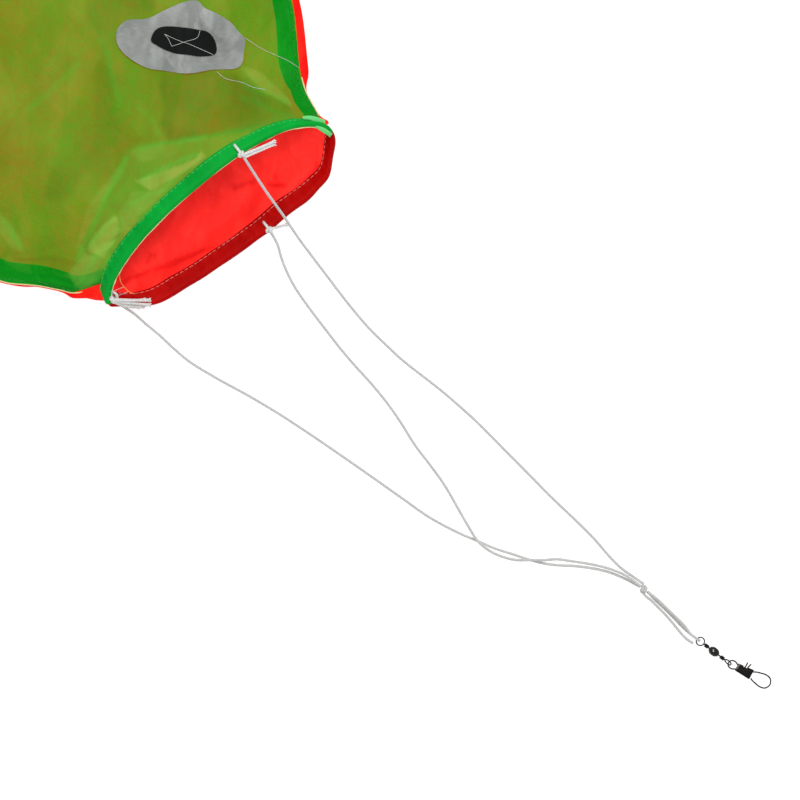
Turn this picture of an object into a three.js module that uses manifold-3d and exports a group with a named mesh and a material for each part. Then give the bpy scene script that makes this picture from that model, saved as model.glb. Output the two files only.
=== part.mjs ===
// Fish windsock lying on its side: a two-colour cloth fish with a sprung hoop in its mouth,
// a three-leg cord bridle, and a barrel swivel with a wire snap at the far end of the bridle.
// Millimetres, +Z up, +X from the tail to the mouth, +Y towards the fish's back.
import * as THREE from "three";
import { mergeVertices } from "three/addons/utils/BufferGeometryUtils.js";
import Module from "manifold-3d";

const wasm = await Module();
wasm.setup();

// Cloth and clearances
const CLOTH = 0.4;
const GAP = 0.3;
const METAL_GAP = 0.1;

// Mouth hoop: a sprung wire whose upper lip leans back and whose lower lip lies ahead on the ground
const HOOP_HALF_WIDTH = 54;
const HOOP_LEAN = 14;
const HOOP_WIRE = 1.4;
const LIP_RISE = 25;
const LIP_SAG = 1.6;
const FERRULE_LENGTH = 14;
const FERRULE_WALL = 0.3;
const FERRULE_ANGLE = THREE.MathUtils.degToRad(245);

// Hem: a cloth casing round the hoop, sewn flat behind it
const HEM_WALL = 0.35;
const HEM_DEPTH = 4.8;
const HEM_ROOM = 0.55;
const HEM_STITCHED = 0.5;
const CORNER_EASE = 1.8;

// Body outline, as distances behind the mouth and half heights from the mouth's middle line
const BODY_LENGTH = 456.8;
const TAIL_ROOT_HALF = 46;
const CHEEK_STATION = 15;
const CHEEK_HEIGHT = 57;
const NAPE_STATION = 46;
const NAPE_HEIGHT = 75.5;
const BACK_STATION = 190;
const BACK_HEIGHT = 118;
const LOIN_STATION = 345;
const LOIN_HEIGHT = 84;
const JOWL_STATION = 5;
const JOWL_DEPTH = 65;
const CHIN_STATION = 26;
const CHIN_DEPTH = 86.5;
const BELLY_STATION = 175;
const BELLY_DEPTH = 140;
const VENT_STATION = 335;
const VENT_DEPTH = 96;

// How the limp body stands: its seams, its loft over the ground, and the gathers behind the hem
const SEAM_HEIGHT = 3;
const BODY_LOFT = 34;
const TAIL_LOFT = 13;
const MOUTH_BLEND = 120;
const CHEEK_LIFT = 2.4;
const CHEEK_LENGTH = 75;
const GATHER_DEPTH = 1.6;
const GATHER_COUNT = 5;
const GATHER_STATION = 60;
const GATHER_SPREAD = 45;

// Fins and tail
const TAIL_LENGTH = 165;
const TAIL_TIP_HALF = 138;
const TAIL_FORK = 70;
const TAIL_END_LOFT = 5;
const BACK_FIN = { from: 120, to: 330, height: 52, rake: 40 };
const BELLY_FIN = { from: 235, to: 345, height: 40, rake: 34 };
const FIN_END_HEIGHT = 6;
const FIN_RIPPLE = 1.2;

// Eyes: a white patch with a dark pupil on each side of the head
const EYE_BACK = 65;
const EYE_UP = 29;
const EYE_HALF_LENGTH = 25;
const EYE_HALF_WIDTH = 14.5;
const EYE_TURN = THREE.MathUtils.degToRad(56);
const PUPIL_HALF_LENGTH = 13;
const PUPIL_HALF_WIDTH = 5.6;
const PUPIL_TURN = THREE.MathUtils.degToRad(37);
const PATCH_GAP = 0.45;
const PATCH = 0.3;

// Bridle cord
const CORD = 1.2;
const TIE_BEAD = 1.5;
const UPPER_TIE_ANGLE = THREE.MathUtils.degToRad(67.8);
const LOWER_TIE_ANGLE = THREE.MathUtils.degToRad(282);
const TIE_HOLE_BACK = 2.9;
const KNOT_RADIUS = 1.8;

// Barrel swivel
const SWIVEL_TURN = THREE.MathUtils.degToRad(15.8);
const EYE_WIRE = 0.5;
const FRONT_RING = 3.8;
const REAR_RING = 3.2;
const WRAP_TURNS = 3;
const WRAP_LENGTH = 2.2;
const WRAP_DIAMETER = 1.5;
const BARREL_LENGTH = 4.2;
const BARREL_DIAMETER = 3.4;
const BARREL_WALL = 0.45;
const BARREL_STANDOFF = 0.45;
const REAR_NECK = 0.9;
const STEM_HEAD = 1.2;
const STEM_HEAD_LENGTH = 0.6;

// Wire snap: a folded plate that holds both legs of a wire, with a sprung gate at the far end
const SNAP_WIRE = 0.56;
const SNAP_TURN = THREE.MathUtils.degToRad(9);
const SNAP_DROOP = THREE.MathUtils.degToRad(3);
const SNAP_SEAT_FORWARD = 0.48;
const SNAP_SEAT_DOWN = 0.46;
const PLATE_START = 3.8;
const PLATE_LENGTH = 6.6;
const PLATE_HALF_NEAR = 1.6;
const PLATE_HALF_FAR = 2.1;
const PLATE_SHEET = 0.25;
const BOW_HALF_WIDTH = 1.6;
const NOTCH_START = 5.9;
const NOTCH_LENGTH = 2.4;
const NOTCH_DEPTH = 0.45;
const PRONG_REACH = 1.5;
const GATE_LENGTH = 8.8;
const GATE_HALF_WIDTH = 2.55;
const GATE_SPREAD = 1.4;
const GATE_NEAR_HALF = 1.95;

const cloth = (color, name) =>
  new THREE.MeshStandardMaterial({ color, roughness: 0.62, metalness: 0, side: THREE.DoubleSide, name });
const greenCloth = cloth(0x3f9a24, "green_nylon");
const redCloth = cloth(0xe8150f, "red_nylon");
const whiteCloth = cloth(0xc4c6c5, "white_nylon");
const blackCloth = cloth(0x141414, "black_nylon");
const whiteCord = cloth(0xe9e7e4, "white_cord");
const springWire = new THREE.MeshStandardMaterial({ color: 0xb9bcc0, roughness: 0.35, metalness: 1 });
const blackNickel = new THREE.MeshStandardMaterial({ color: 0x2a2a2c, roughness: 0.3, metalness: 1 });

const fish = new THREE.Group();
const bridle = new THREE.Group();

function addPiece(group, name, geometry, material) {
  const mesh = new THREE.Mesh(geometry, material);
  mesh.name = name;
  group.add(mesh);
  return mesh;
}

// Solids from meshes, and back

function solidFrom(geometry) {
  const bare = new THREE.BufferGeometry();
  bare.setAttribute("position", geometry.getAttribute("position").clone());
  if (geometry.index) bare.setIndex(geometry.index.clone());
  const merged = mergeVertices(bare, 1e-4);
  return new wasm.Manifold(
    new wasm.Mesh({
      numProp: 3,
      vertProperties: new Float32Array(merged.getAttribute("position").array),
      triVerts: new Uint32Array(merged.index.array),
    }),
  );
}

function geometryFrom(solid) {
  const mesh = solid.getMesh();
  const geometry = new THREE.BufferGeometry();
  geometry.setAttribute("position", new THREE.BufferAttribute(mesh.vertProperties, 3));
  geometry.setIndex(new THREE.BufferAttribute(mesh.triVerts, 1));
  return geometry;
}

function joined(...geometries) {
  const solids = geometries.map(solidFrom);
  return geometryFrom(solids.slice(1).reduce((whole, solid) => whole.add(solid), solids[0]));
}

function cutBy(geometry, ...tools) {
  const whole = solidFrom(geometry);
  return geometryFrom(tools.map(solidFrom).reduce((rest, tool) => rest.subtract(tool), whole));
}

// A closed geometry from points and triangles, with its faces turned outwards
function closedGeometry(points, triangles) {
  const volume = triangles.reduce((sum, [a, b, c]) => {
    const normal = new THREE.Vector3().crossVectors(points[b], points[c]);
    return sum + points[a].dot(normal);
  }, 0);
  const facing = volume < 0 ? triangles.map(([a, b, c]) => [a, c, b]) : triangles;
  const geometry = new THREE.BufferGeometry().setFromPoints(points);
  geometry.setIndex(facing.flat());
  return geometry;
}

const quad = (a, b, c, d) => [
  [a, b, c],
  [a, c, d],
];

// A sheet of cloth as a closed solid between a front grid and a back grid of points
function sheetSolid(front, back) {
  const rows = front.length;
  const columns = front[0].length;
  const points = [...front.flat(), ...back.flat()];
  const at = (i, j) => i * columns + j;
  const under = (i, j) => rows * columns + at(i, j);
  const triangles = [];
  for (let i = 0; i + 1 < rows; i++) {
    for (let j = 0; j + 1 < columns; j++) {
      triangles.push(...quad(at(i, j), at(i, j + 1), at(i + 1, j + 1), at(i + 1, j)));
      triangles.push(...quad(under(i, j), under(i + 1, j), under(i + 1, j + 1), under(i, j + 1)));
    }
    triangles.push(...quad(at(i, 0), at(i + 1, 0), under(i + 1, 0), under(i, 0)));
    const last = columns - 1;
    triangles.push(...quad(at(i + 1, last), at(i, last), under(i, last), under(i + 1, last)));
  }
  for (let j = 0; j + 1 < columns; j++) {
    triangles.push(...quad(at(0, j + 1), at(0, j), under(0, j), under(0, j + 1)));
    const last = rows - 1;
    triangles.push(...quad(at(last, j), at(last, j + 1), under(last, j + 1), under(last, j)));
  }
  return closedGeometry(points, triangles);
}

// A round patch of cloth: rings of points about a middle point, on a front and a back face
function discSolid(rings, segments, frontAt, backAt) {
  const points = [];
  const start = [];
  for (const faceAt of [frontAt, backAt]) {
    start.push(points.length);
    points.push(faceAt(0, 0));
    for (let k = 1; k <= rings; k++)
      for (let j = 0; j < segments; j++) points.push(faceAt(k / rings, (2 * Math.PI * j) / segments));
  }
  const triangles = [];
  const at = (face, k, j) => start[face] + 1 + (k - 1) * segments + (j % segments);
  for (const face of [0, 1]) {
    for (let j = 0; j < segments; j++) {
      const fan = [start[face], at(face, 1, j), at(face, 1, j + 1)];
      triangles.push(face ? fan.toReversed() : fan);
      for (let k = 1; k < rings; k++) {
        const [a, b] = [at(face, k, j), at(face, k, j + 1)];
        const [c, d] = [at(face, k + 1, j + 1), at(face, k + 1, j)];
        triangles.push(...(face ? quad(a, b, c, d) : quad(a, d, c, b)));
      }
    }
  }
  for (let j = 0; j < segments; j++)
    triangles.push(...quad(at(0, rings, j), at(1, rings, j), at(1, rings, j + 1), at(0, rings, j + 1)));
  return closedGeometry(points, triangles);
}

// A casing: two nested rows of rings, open at both ends
function casingSolid(outerRings, innerRings) {
  const steps = outerRings.length;
  const sides = outerRings[0].length;
  const points = [...outerRings.flat(), ...innerRings.flat()];
  const outer = (k, j) => k * sides + (j % sides);
  const inner = (k, j) => steps * sides + outer(k, j);
  const triangles = [];
  for (let j = 0; j < sides; j++) {
    for (let k = 0; k + 1 < steps; k++) {
      triangles.push(...quad(outer(k, j), outer(k, j + 1), outer(k + 1, j + 1), outer(k + 1, j)));
      triangles.push(...quad(inner(k, j), inner(k + 1, j), inner(k + 1, j + 1), inner(k, j + 1)));
    }
    triangles.push(...quad(outer(0, j + 1), outer(0, j), inner(0, j), inner(0, j + 1)));
    const last = steps - 1;
    triangles.push(...quad(outer(last, j), outer(last, j + 1), inner(last, j + 1), inner(last, j)));
  }
  return closedGeometry(points, triangles);
}

const roundShape = (radius, sides) =>
  new THREE.Shape(
    Array.from({ length: sides }, (_, k) => {
      const turn = (2 * Math.PI * k) / sides;
      return new THREE.Vector2(radius * Math.cos(turn), radius * Math.sin(turn));
    }),
  );

function tubeAlong(curve, diameter, sides, steps, bore = 0) {
  const section = roundShape(diameter / 2, sides);
  if (bore) section.holes.push(roundShape(bore / 2, sides));
  return new THREE.ExtrudeGeometry(section, { steps, extrudePath: curve });
}

const smoothCurve = (points) => new THREE.CatmullRomCurve3(points, false, "centripetal");

// The mouth

const hemHalf = HOOP_WIRE / 2 + HEM_ROOM + HEM_WALL;
const lipLow = CORD + GAP + hemHalf;

// A point of the hoop's middle line: angle 0 is the back corner, 90 degrees the upper lip
function lipPoint(angle) {
  const share = (1 + Math.sin(angle)) / 2;
  return new THREE.Vector3(
    -HOOP_LEAN * Math.sin(angle),
    HOOP_HALF_WIDTH * Math.cos(angle),
    lipLow + LIP_RISE * share ** LIP_SAG,
  );
}

class LipCurve extends THREE.Curve {
  constructor(from, to) {
    super();
    this.from = from;
    this.to = to;
  }
  getPoint(t, target = new THREE.Vector3()) {
    return target.copy(lipPoint(this.from + (this.to - this.from) * t));
  }
}

const hoopMeanRadius = Math.hypot(HOOP_HALF_WIDTH, HOOP_LEAN) / Math.SQRT2;
const lipAngle = (length) => length / hoopMeanRadius;

function makeHoop() {
  const halfGap = lipAngle(GAP);
  const from = FERRULE_ANGLE + halfGap;
  const hoop = tubeAlong(new LipCurve(from, from + 2 * Math.PI - 2 * halfGap), HOOP_WIRE, 8, 56);
  addPiece(fish, "mouth_hoop", hoop, springWire);
  const bore = HOOP_WIRE + 2 * METAL_GAP;
  const halfLength = lipAngle(FERRULE_LENGTH / 2);
  const sleeve = new LipCurve(FERRULE_ANGLE - halfLength, FERRULE_ANGLE + halfLength);
  addPiece(fish, "hoop_ferrule", tubeAlong(sleeve, bore + 2 * FERRULE_WALL, 8, 6, bore), springWire);
}

// The hem's section: round at the hoop, drawn flat at the stitch line behind it
function hemSection(wall) {
  const radius = hemHalf - wall;
  const rear = -(HEM_DEPTH - wall);
  const flat = HEM_STITCHED - 0.7 * wall;
  const front = [-90, -54, -18, 18, 54, 90].map((degrees) => {
    const turn = THREE.MathUtils.degToRad(degrees);
    return [radius * Math.cos(turn), radius * Math.sin(turn)];
  });
  return [...front, [rear, flat], [rear, -flat]];
}

function hemRing(angle, wall) {
  const middle = lipPoint(angle);
  const tangent = lipPoint(angle + 1e-3).sub(lipPoint(angle - 1e-3)).normalize();
  const forward = new THREE.Vector3(1, 0, 0);
  const across = new THREE.Vector3().crossVectors(forward, tangent).normalize();
  return hemSection(wall).map(([ahead, aside]) =>
    middle.clone().addScaledVector(forward, ahead).addScaledVector(across, aside),
  );
}

const tieHole = (angle) => {
  const radius = CORD / 2 + 2 * GAP;
  const hole = new THREE.CylinderGeometry(radius, radius, 12, 12);
  hole.rotateX(Math.PI / 2);
  const place = lipPoint(angle);
  return hole.translate(place.x - TIE_HOLE_BACK, place.y, place.z);
};

function makeHem(name, from, to, tieAngle, material) {
  const steps = 24;
  const angles = Array.from({ length: steps + 1 }, (_, k) => from + ((to - from) * k) / steps);
  const casing = casingSolid(
    angles.map((angle) => hemRing(angle, 0)),
    angles.map((angle) => hemRing(angle, HEM_WALL)),
  );
  addPiece(fish, name, cutBy(casing, tieHole(tieAngle)), material);
}

function makeHems() {
  const backEnd = lipAngle(GAP);
  const cornerRise = (lipPoint(Math.PI - 0.01).z - lipPoint(Math.PI + 0.01).z) / 0.02;
  const cornerEnd = (CORD / 2 + 3 * GAP) / cornerRise;
  makeHem("upper_lip_hem", backEnd, Math.PI - cornerEnd, UPPER_TIE_ANGLE, greenCloth);
  makeHem("lower_lip_hem", Math.PI + cornerEnd, 2 * Math.PI - backEnd, LOWER_TIE_ANGLE, redCloth);
}

// The body

const ease = (t) => {
  const u = THREE.MathUtils.clamp(t, 0, 1);
  return u * u * (3 - 2 * u);
};

// A smooth line through [station, height] points, as a function of the station
function profile(points) {
  const slope = points.map((_, i) => {
    const a = points[Math.max(i - 1, 0)];
    const b = points[Math.min(i + 1, points.length - 1)];
    return (b[1] - a[1]) / (b[0] - a[0]);
  });
  return (station) => {
    const i = Math.max(0, points.findLastIndex(([s], k) => s <= station && k + 1 < points.length));
    const [[s0, h0], [s1, h1]] = [points[i], points[i + 1]];
    const span = s1 - s0;
    const t = (station - s0) / span;
    const [t2, t3] = [t * t, t * t * t];
    return (
      h0 * (2 * t3 - 3 * t2 + 1) +
      slope[i] * span * (t3 - 2 * t2 + t) +
      h1 * (3 * t2 - 2 * t3) +
      slope[i + 1] * span * (t3 - t2)
    );
  };
}

const backLine = profile([
  [0, HOOP_HALF_WIDTH],
  [CHEEK_STATION, CHEEK_HEIGHT],
  [NAPE_STATION, NAPE_HEIGHT],
  [BACK_STATION, BACK_HEIGHT],
  [LOIN_STATION, LOIN_HEIGHT],
  [BODY_LENGTH, TAIL_ROOT_HALF],
]);
const bellyLine = profile([
  [0, HOOP_HALF_WIDTH],
  [JOWL_STATION, JOWL_DEPTH],
  [CHIN_STATION, CHIN_DEPTH],
  [BELLY_STATION, BELLY_DEPTH],
  [VENT_STATION, VENT_DEPTH],
  [BODY_LENGTH, TAIL_ROOT_HALF],
]);

const seamHeight = (station) =>
  THREE.MathUtils.lerp(lipPoint(0).z, SEAM_HEIGHT, ease(station / MOUTH_BLEND));

function loft(station) {
  const toTail = ease((station - BACK_STATION) / (BODY_LENGTH - BACK_STATION));
  return THREE.MathUtils.lerp(BODY_LOFT, TAIL_LOFT, toTail);
}

function gathers(station, angle) {
  const near = Math.exp(-(((station - GATHER_STATION) / GATHER_SPREAD) ** 2));
  return GATHER_DEPTH * near * Math.sin(GATHER_COUNT * 2 * angle) * Math.sin(angle);
}

const UPPER = { from: 0, outwards: 1 };
const UNDER = { from: Math.PI, outwards: -1 };

// Outer face of the cloth at a station behind the mouth
function bodyPoint(side, station, angle) {
  const blend = ease(station / MOUTH_BLEND);
  const lip = lipPoint(angle);
  const rise = Math.abs(Math.sin(angle));
  const middle = (backLine(station) - bellyLine(station)) / 2;
  const half = (backLine(station) + bellyLine(station)) / 2;
  const cornerEase = CORNER_EASE * Math.cos(angle) ** 4 * (1 - blend);
  const x = lip.x * (1 - blend) - HEM_DEPTH - GAP - cornerEase - station;
  const y = middle + half * Math.cos(angle);
  const seam = seamHeight(station);
  const offSeam = GAP / 2 + CLOTH;
  if (side === UPPER) {
    const crown = seam + loft(station) * rise ** 1.3;
    const z = THREE.MathUtils.lerp(lip.z, crown, blend) + gathers(station, angle);
    return new THREE.Vector3(x, y, z + offSeam);
  }
  const edge = 1 - Math.min(1, rise / 0.6);
  const lift = CHEEK_LIFT * (1 - edge) * (1 - ease((station - CHEEK_LENGTH) / CHEEK_LENGTH));
  const z = THREE.MathUtils.lerp(lip.z, seam * edge ** 2 + lift, blend);
  return new THREE.Vector3(x, y, Math.max(0, z - offSeam * edge));
}

const lowered = (point, drop) => new THREE.Vector3(point.x, point.y, point.z - drop);
const shares = (count) => Array.from({ length: count + 1 }, (_, k) => k / count);
const gridOf = (rows, columns, at) => shares(rows).map((u) => shares(columns).map((v) => at(u, v)));

const thickened = (side, outer) =>
  sheetSolid(
    outer,
    outer.map((row) => row.map((point) => lowered(point, side.outwards * CLOTH))),
  );

function makeSidePanel(name, side, material) {
  const station = (u) => BODY_LENGTH * u ** 1.35;
  const outer = gridOf(24, 20, (u, v) => bodyPoint(side, station(u), side.from + Math.PI * v));
  addPiece(fish, name, thickened(side, outer), material);
}

// The tail, in two layers that stay open at the rear

function tailPoint(side, u, angle) {
  const root = bodyPoint(side, BODY_LENGTH, angle);
  const over = Math.cos(angle);
  const length = TAIL_LENGTH - TAIL_FORK * (1 - Math.abs(over) ** 1.5);
  const half = THREE.MathUtils.lerp(TAIL_ROOT_HALF, TAIL_TIP_HALF, u ** 1.4);
  const endLoft = SEAM_HEIGHT + GAP / 2 + CLOTH + TAIL_END_LOFT * Math.sin(angle);
  const end = side === UPPER ? endLoft : root.z;
  const z = THREE.MathUtils.lerp(root.z, end, ease(u));
  return new THREE.Vector3(root.x - GAP - length * u, half * over, z);
}

function makeTail(name, side, material) {
  const outer = gridOf(10, 14, (u, v) => tailPoint(side, u, side.from + Math.PI * v));
  addPiece(fish, name, thickened(side, outer), material);
}

// A fin sewn along a seam: it lies flat on the ground and sweeps back
function makeFin(name, fin, line, towards, material) {
  const top = gridOf(14, 6, (u, v) => {
    const station = THREE.MathUtils.lerp(fin.from, fin.to, u);
    const height = FIN_END_HEIGHT + fin.height * Math.sin(Math.PI * u ** 0.8);
    const seam = bodyPoint(UPPER, station, towards > 0 ? 0 : Math.PI);
    const ripple = FIN_RIPPLE * (1 + Math.sin(5 * Math.PI * u)) * v;
    const root = seam.z - GAP / 2;
    const z = THREE.MathUtils.lerp(root, CLOTH, ease(v)) + ripple;
    return new THREE.Vector3(seam.x - fin.rake * v, towards * (line(station) + GAP + height * v), z);
  });
  addPiece(fish, name, thickened(UPPER, top), material);
}

// Eyes, laid on the cloth of either side

// The body's outer face over a point of the ground plan
function clothHeight(side, x, y) {
  let station = -x - HEM_DEPTH - GAP;
  let angle = side.from + Math.PI / 2;
  for (let k = 0; k < 12; k++) {
    const middle = (backLine(station) - bellyLine(station)) / 2;
    const half = (backLine(station) + bellyLine(station)) / 2;
    const turn = Math.acos(THREE.MathUtils.clamp((y - middle) / half, -1, 1));
    angle = side === UPPER ? turn : 2 * Math.PI - turn;
    station += bodyPoint(side, station, angle).x - x;
  }
  return bodyPoint(side, station, angle).z;
}

function makePatch(name, side, patch, standOff, material) {
  const at = (lift) => (share, around) => {
    const along = patch.halfLength * share * Math.cos(around);
    const over = patch.halfWidth * share * Math.sin(around);
    const x = -EYE_BACK + along * Math.cos(patch.turn) - over * Math.sin(patch.turn);
    const y = EYE_UP + along * Math.sin(patch.turn) + over * Math.cos(patch.turn);
    return new THREE.Vector3(x, y, clothHeight(side, x, y) + side.outwards * lift);
  };
  addPiece(fish, name, discSolid(3, 20, at(standOff + PATCH), at(standOff)), material);
}

function makeEyes() {
  const white = { halfLength: EYE_HALF_LENGTH, halfWidth: EYE_HALF_WIDTH, turn: EYE_TURN };
  const pupil = { halfLength: PUPIL_HALF_LENGTH, halfWidth: PUPIL_HALF_WIDTH, turn: PUPIL_TURN };
  makePatch("eye_white_upper", UPPER, white, PATCH_GAP, whiteCloth);
  makePatch("eye_pupil_upper", UPPER, pupil, PATCH_GAP + PATCH + GAP, blackCloth);
  makePatch("eye_white_under", UNDER, white, PATCH_GAP, whiteCloth);
  makePatch("eye_pupil_under", UNDER, pupil, PATCH_GAP + PATCH + GAP, blackCloth);
}

// The bridle

const cordHalf = CORD / 2;
const alongX = new THREE.Vector3(1, 0, 0);
const alongY = new THREE.Vector3(0, 1, 0);
const alongZ = new THREE.Vector3(0, 0, 1);
const stepped = (from, axis, distance) => from.clone().addScaledVector(axis, distance);

// A tie through the hem: a loop of cord round the hoop, with its knot in front of the lip
function hemTie(angle) {
  const lip = lipPoint(angle);
  const front = hemHalf + GAP + cordHalf;
  return {
    middle: stepped(lip, alongX, (front - TIE_HOLE_BACK) / 2),
    along: stepped(new THREE.Vector3(), alongX, (front + TIE_HOLE_BACK) / 2),
    over: stepped(new THREE.Vector3(), alongZ, front),
    bead: stepped(lip, alongX, front + TIE_BEAD * 0.6),
  };
}

// The corner tie lies level, between the ends of the two hems, with its knot outside the corner
function cornerTie() {
  const lip = lipPoint(Math.PI);
  const inside = HOOP_WIRE / 2 + GAP + cordHalf;
  const outside = hemHalf + GAP + cordHalf + TIE_BEAD * 0.4;
  return {
    middle: stepped(lip, alongY, (inside - outside) / 2),
    along: stepped(new THREE.Vector3(), alongX, HOOP_WIRE * 0.75 + GAP + CORD),
    over: stepped(new THREE.Vector3(), alongY, (inside + outside) / 2),
    bead: stepped(lip, alongY, -outside - TIE_BEAD * 0.6),
  };
}

class TieLoop extends THREE.Curve {
  constructor(tie) {
    super();
    this.tie = tie;
  }
  getPoint(t, target = new THREE.Vector3()) {
    const turn = 2 * Math.PI * t;
    target.copy(this.tie.middle);
    target.addScaledVector(this.tie.along, Math.cos(turn));
    return target.addScaledVector(this.tie.over, Math.sin(turn));
  }
}

function makeTie(name, tie) {
  const loop = new THREE.TubeGeometry(new TieLoop(tie), 18, cordHalf, 6, true);
  const bead = new THREE.SphereGeometry(TIE_BEAD, 10, 7).translate(tie.bead.x, tie.bead.y, tie.bead.z);
  addPiece(bridle, name, joined(loop, bead), whiteCord);
}

const route = (points) => points.map(([x, y, z]) => new THREE.Vector3(x, y, z));

// Each leg's route from its tie to the knot, measured from the middle of the mouth
const CORNER_LEG = route([
  [4.6, -57.9, 9.6],
  [9.6, -55.0, 5.2],
  [15.3, -51.2, 1.5],
  [23.2, -49.2, 0.7],
  [31.3, -47.8, 0.7],
  [38.9, -46.0, 0.7],
  [51.8, -40.9, 0.7],
  [64.3, -35.3, 0.7],
  [77.3, -30.1, 0.7],
  [90.8, -25.3, 0.7],
  [104.6, -20.7, 0.7],
  [118.5, -16.2, 0.7],
  [132.4, -11.8, 0.7],
  [146.4, -7.3, 0.7],
  [158.7, -1.6, 0.7],
  [165.5, 2.3, 0.7],
  [171.9, 5.9, 0.7],
  [177.8, 10.0, 0.7],
  [184.0, 14.3, 0.7],
  [188.6, 17.9, 0.7],
  [192.5, 21.9, 0.7],
  [196.9, 27.1, 0.7],
  [202.6, 32.8, 0.7],
  [207.3, 36.6, 0.7],
  [212.9, 39.9, 0.7],
]);
const LOWER_LEG = route([
  [23.0, 10.2, 1.9],
  [27.5, 8.4, 0.9],
  [33.7, 6.6, 0.7],
  [41.0, 5.4, 0.7],
  [51.0, 5.0, 0.7],
  [60.8, 5.0, 0.7],
  [70.7, 5.1, 0.7],
  [79.9, 5.6, 0.7],
  [88.8, 6.4, 0.7],
  [98.1, 6.8, 0.7],
  [108.4, 6.5, 0.7],
  [119.7, 5.5, 0.7],
  [129.5, 5.5, 0.7],
  [139.8, 5.2, 0.7],
  [151.7, 3.7, 0.85],
  [158.8, 2.8, 1.7],
  [165.4, 2.3, 2.3],
  [170.6, 3.4, 2.1],
  [175.7, 5.9, 1.7],
  [180.4, 9.6, 1.9],
  [184.0, 14.3, 2.3],
  [187.4, 18.7, 2.3],
  [190.8, 22.6, 2.3],
  [194.9, 26.6, 2.3],
  [199.0, 30.6, 2.3],
  [203.3, 34.4, 2.3],
  [207.4, 37.5, 2.3],
  [212.6, 40.6, 2.5],
]);
const UPPER_LEG = route([
  [-3.5, 19.8, 23.6],
  [3.8, 19.3, 18.6],
  [10.0, 19.1, 14.2],
  [15.4, 19.0, 10.6],
  [21.0, 18.7, 7.1],
  [26.9, 18.4, 4.2],
  [33.3, 18.4, 2.1],
  [40.0, 18.4, 1.0],
  [46.0, 18.4, 0.72],
  [53.2, 18.4, 0.7],
  [62.9, 18.6, 0.7],
  [71.9, 19.2, 0.7],
  [80.1, 20.4, 0.7],
  [88.5, 21.8, 0.7],
  [95.8, 23.6, 0.7],
  [103.1, 25.6, 0.7],
  [110.6, 27.5, 0.7],
  [118.3, 29.1, 0.7],
  [126.2, 30.6, 0.7],
  [134.6, 31.8, 0.7],
  [143.2, 32.9, 0.7],
  [151.4, 34.0, 0.7],
  [160.0, 35.1, 0.7],
  [168.6, 36.2, 0.7],
  [176.6, 37.5, 0.7],
  [184.9, 38.8, 0.7],
  [193.4, 39.9, 0.7],
  [202.6, 40.5, 0.75],
  [208.8, 41.4, 1.1],
  [214.0, 43.0, 1.6],
]);

// Where the cords leave the bridle's knot, and the knot's own place
const KNOT = new THREE.Vector3(220.8, 43.5, KNOT_RADIUS + 0.1);
const knotSide = (x, y, z) =>
  stepped(KNOT, new THREE.Vector3(x, y, z).normalize(), KNOT_RADIUS + GAP);
const CORNER_LEG_END = knotSide(-0.84, -0.36, -0.46);
const LOWER_LEG_END = knotSide(-0.82, -0.2, 0.54);
const UPPER_LEG_END = knotSide(-0.83, 0.55, -0.05);

function makeLeg(name, tie, points, end) {
  makeTie(`${name}_tie`, tie);
  const out = points[0].clone().sub(tie.bead).normalize();
  const start = stepped(tie.bead, out, TIE_BEAD + GAP);
  const curve = smoothCurve([start, ...points, end]);
  addPiece(bridle, `${name}_bridle_leg`, tubeAlong(curve, CORD, 8, 42), whiteCord);
}

function makeKnot() {
  const core = new THREE.SphereGeometry(KNOT_RADIUS - 0.2, 10, 6);
  const turns = [-0.5, 0.45, 1.4].map((turn) => {
    const wrap = new THREE.TorusGeometry(KNOT_RADIUS - cordHalf, cordHalf, 6, 14);
    return wrap.rotateY(Math.PI / 2 + turn * 0.5).rotateX(turn);
  });
  const knot = joined(core, ...turns);
  addPiece(bridle, "bridle_knot", knot.translate(KNOT.x, KNOT.y, KNOT.z), whiteCord);
}

// The swivel's frame: its front ring lies level, round the bridle's loop

const swivelAxis = new THREE.Vector3(Math.cos(SWIVEL_TURN), Math.sin(SWIVEL_TURN), 0);
const RING = new THREE.Vector3(251.1, 48.8, BARREL_DIAMETER / 2 + METAL_GAP);
const ringRadius = (FRONT_RING - EYE_WIRE) / 2;
const loopBend = EYE_WIRE / 2 + 2 * METAL_GAP + cordHalf;

// The loop runs over the ring's near side, down through the ring, and back under it to the knot
const LOOP_OUT = route([
  [227.4, 45.0, 2.5],
  [233.8, 45.8, 2.2],
  [238.0, 46.4, 2.2],
  [242.2, 46.9, 2.45],
]);
const LOOP_BACK = route([
  [242.2, 46.6, 0.7],
  [238.0, 46.1, 0.7],
  [233.8, 45.6, 0.7],
  [227.4, 44.6, 0.85],
]);
const LOOP_TAIL = route([
  [227.2, 43.2, 1.2],
  [233.0, 44.0, 0.7],
  [237.0, 44.5, 0.65],
  [241.1, 44.4, 0.65],
  [244.7, 44.6, 0.65],
  [247.8, 45.2, 0.65],
  [250.0, 46.0, 0.65],
]);

function makeLoop() {
  const near = stepped(RING, swivelAxis, -ringRadius);
  const bend = [90, 45, 0, -45, -90].map((degrees) => {
    const turn = THREE.MathUtils.degToRad(degrees);
    const out = stepped(near, swivelAxis, loopBend * Math.cos(turn));
    return stepped(out, alongZ, loopBend * Math.sin(turn));
  });
  const lead = (point) => stepped(point, swivelAxis, -3);
  const points = [
    knotSide(0.9, 0.3, 0.42),
    ...LOOP_OUT,
    lead(bend[0]),
    ...bend,
    lead(bend[4]),
    ...LOOP_BACK,
    knotSide(0.84, 0.24, -0.5),
  ];
  addPiece(bridle, "bridle_loop", tubeAlong(smoothCurve(points), CORD, 8, 44), whiteCord);
  const tail = smoothCurve([knotSide(0.84, -0.55, -0.05), ...LOOP_TAIL]);
  addPiece(bridle, "bridle_loose_end", tubeAlong(tail, CORD, 8, 12), whiteCord);
}

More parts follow.
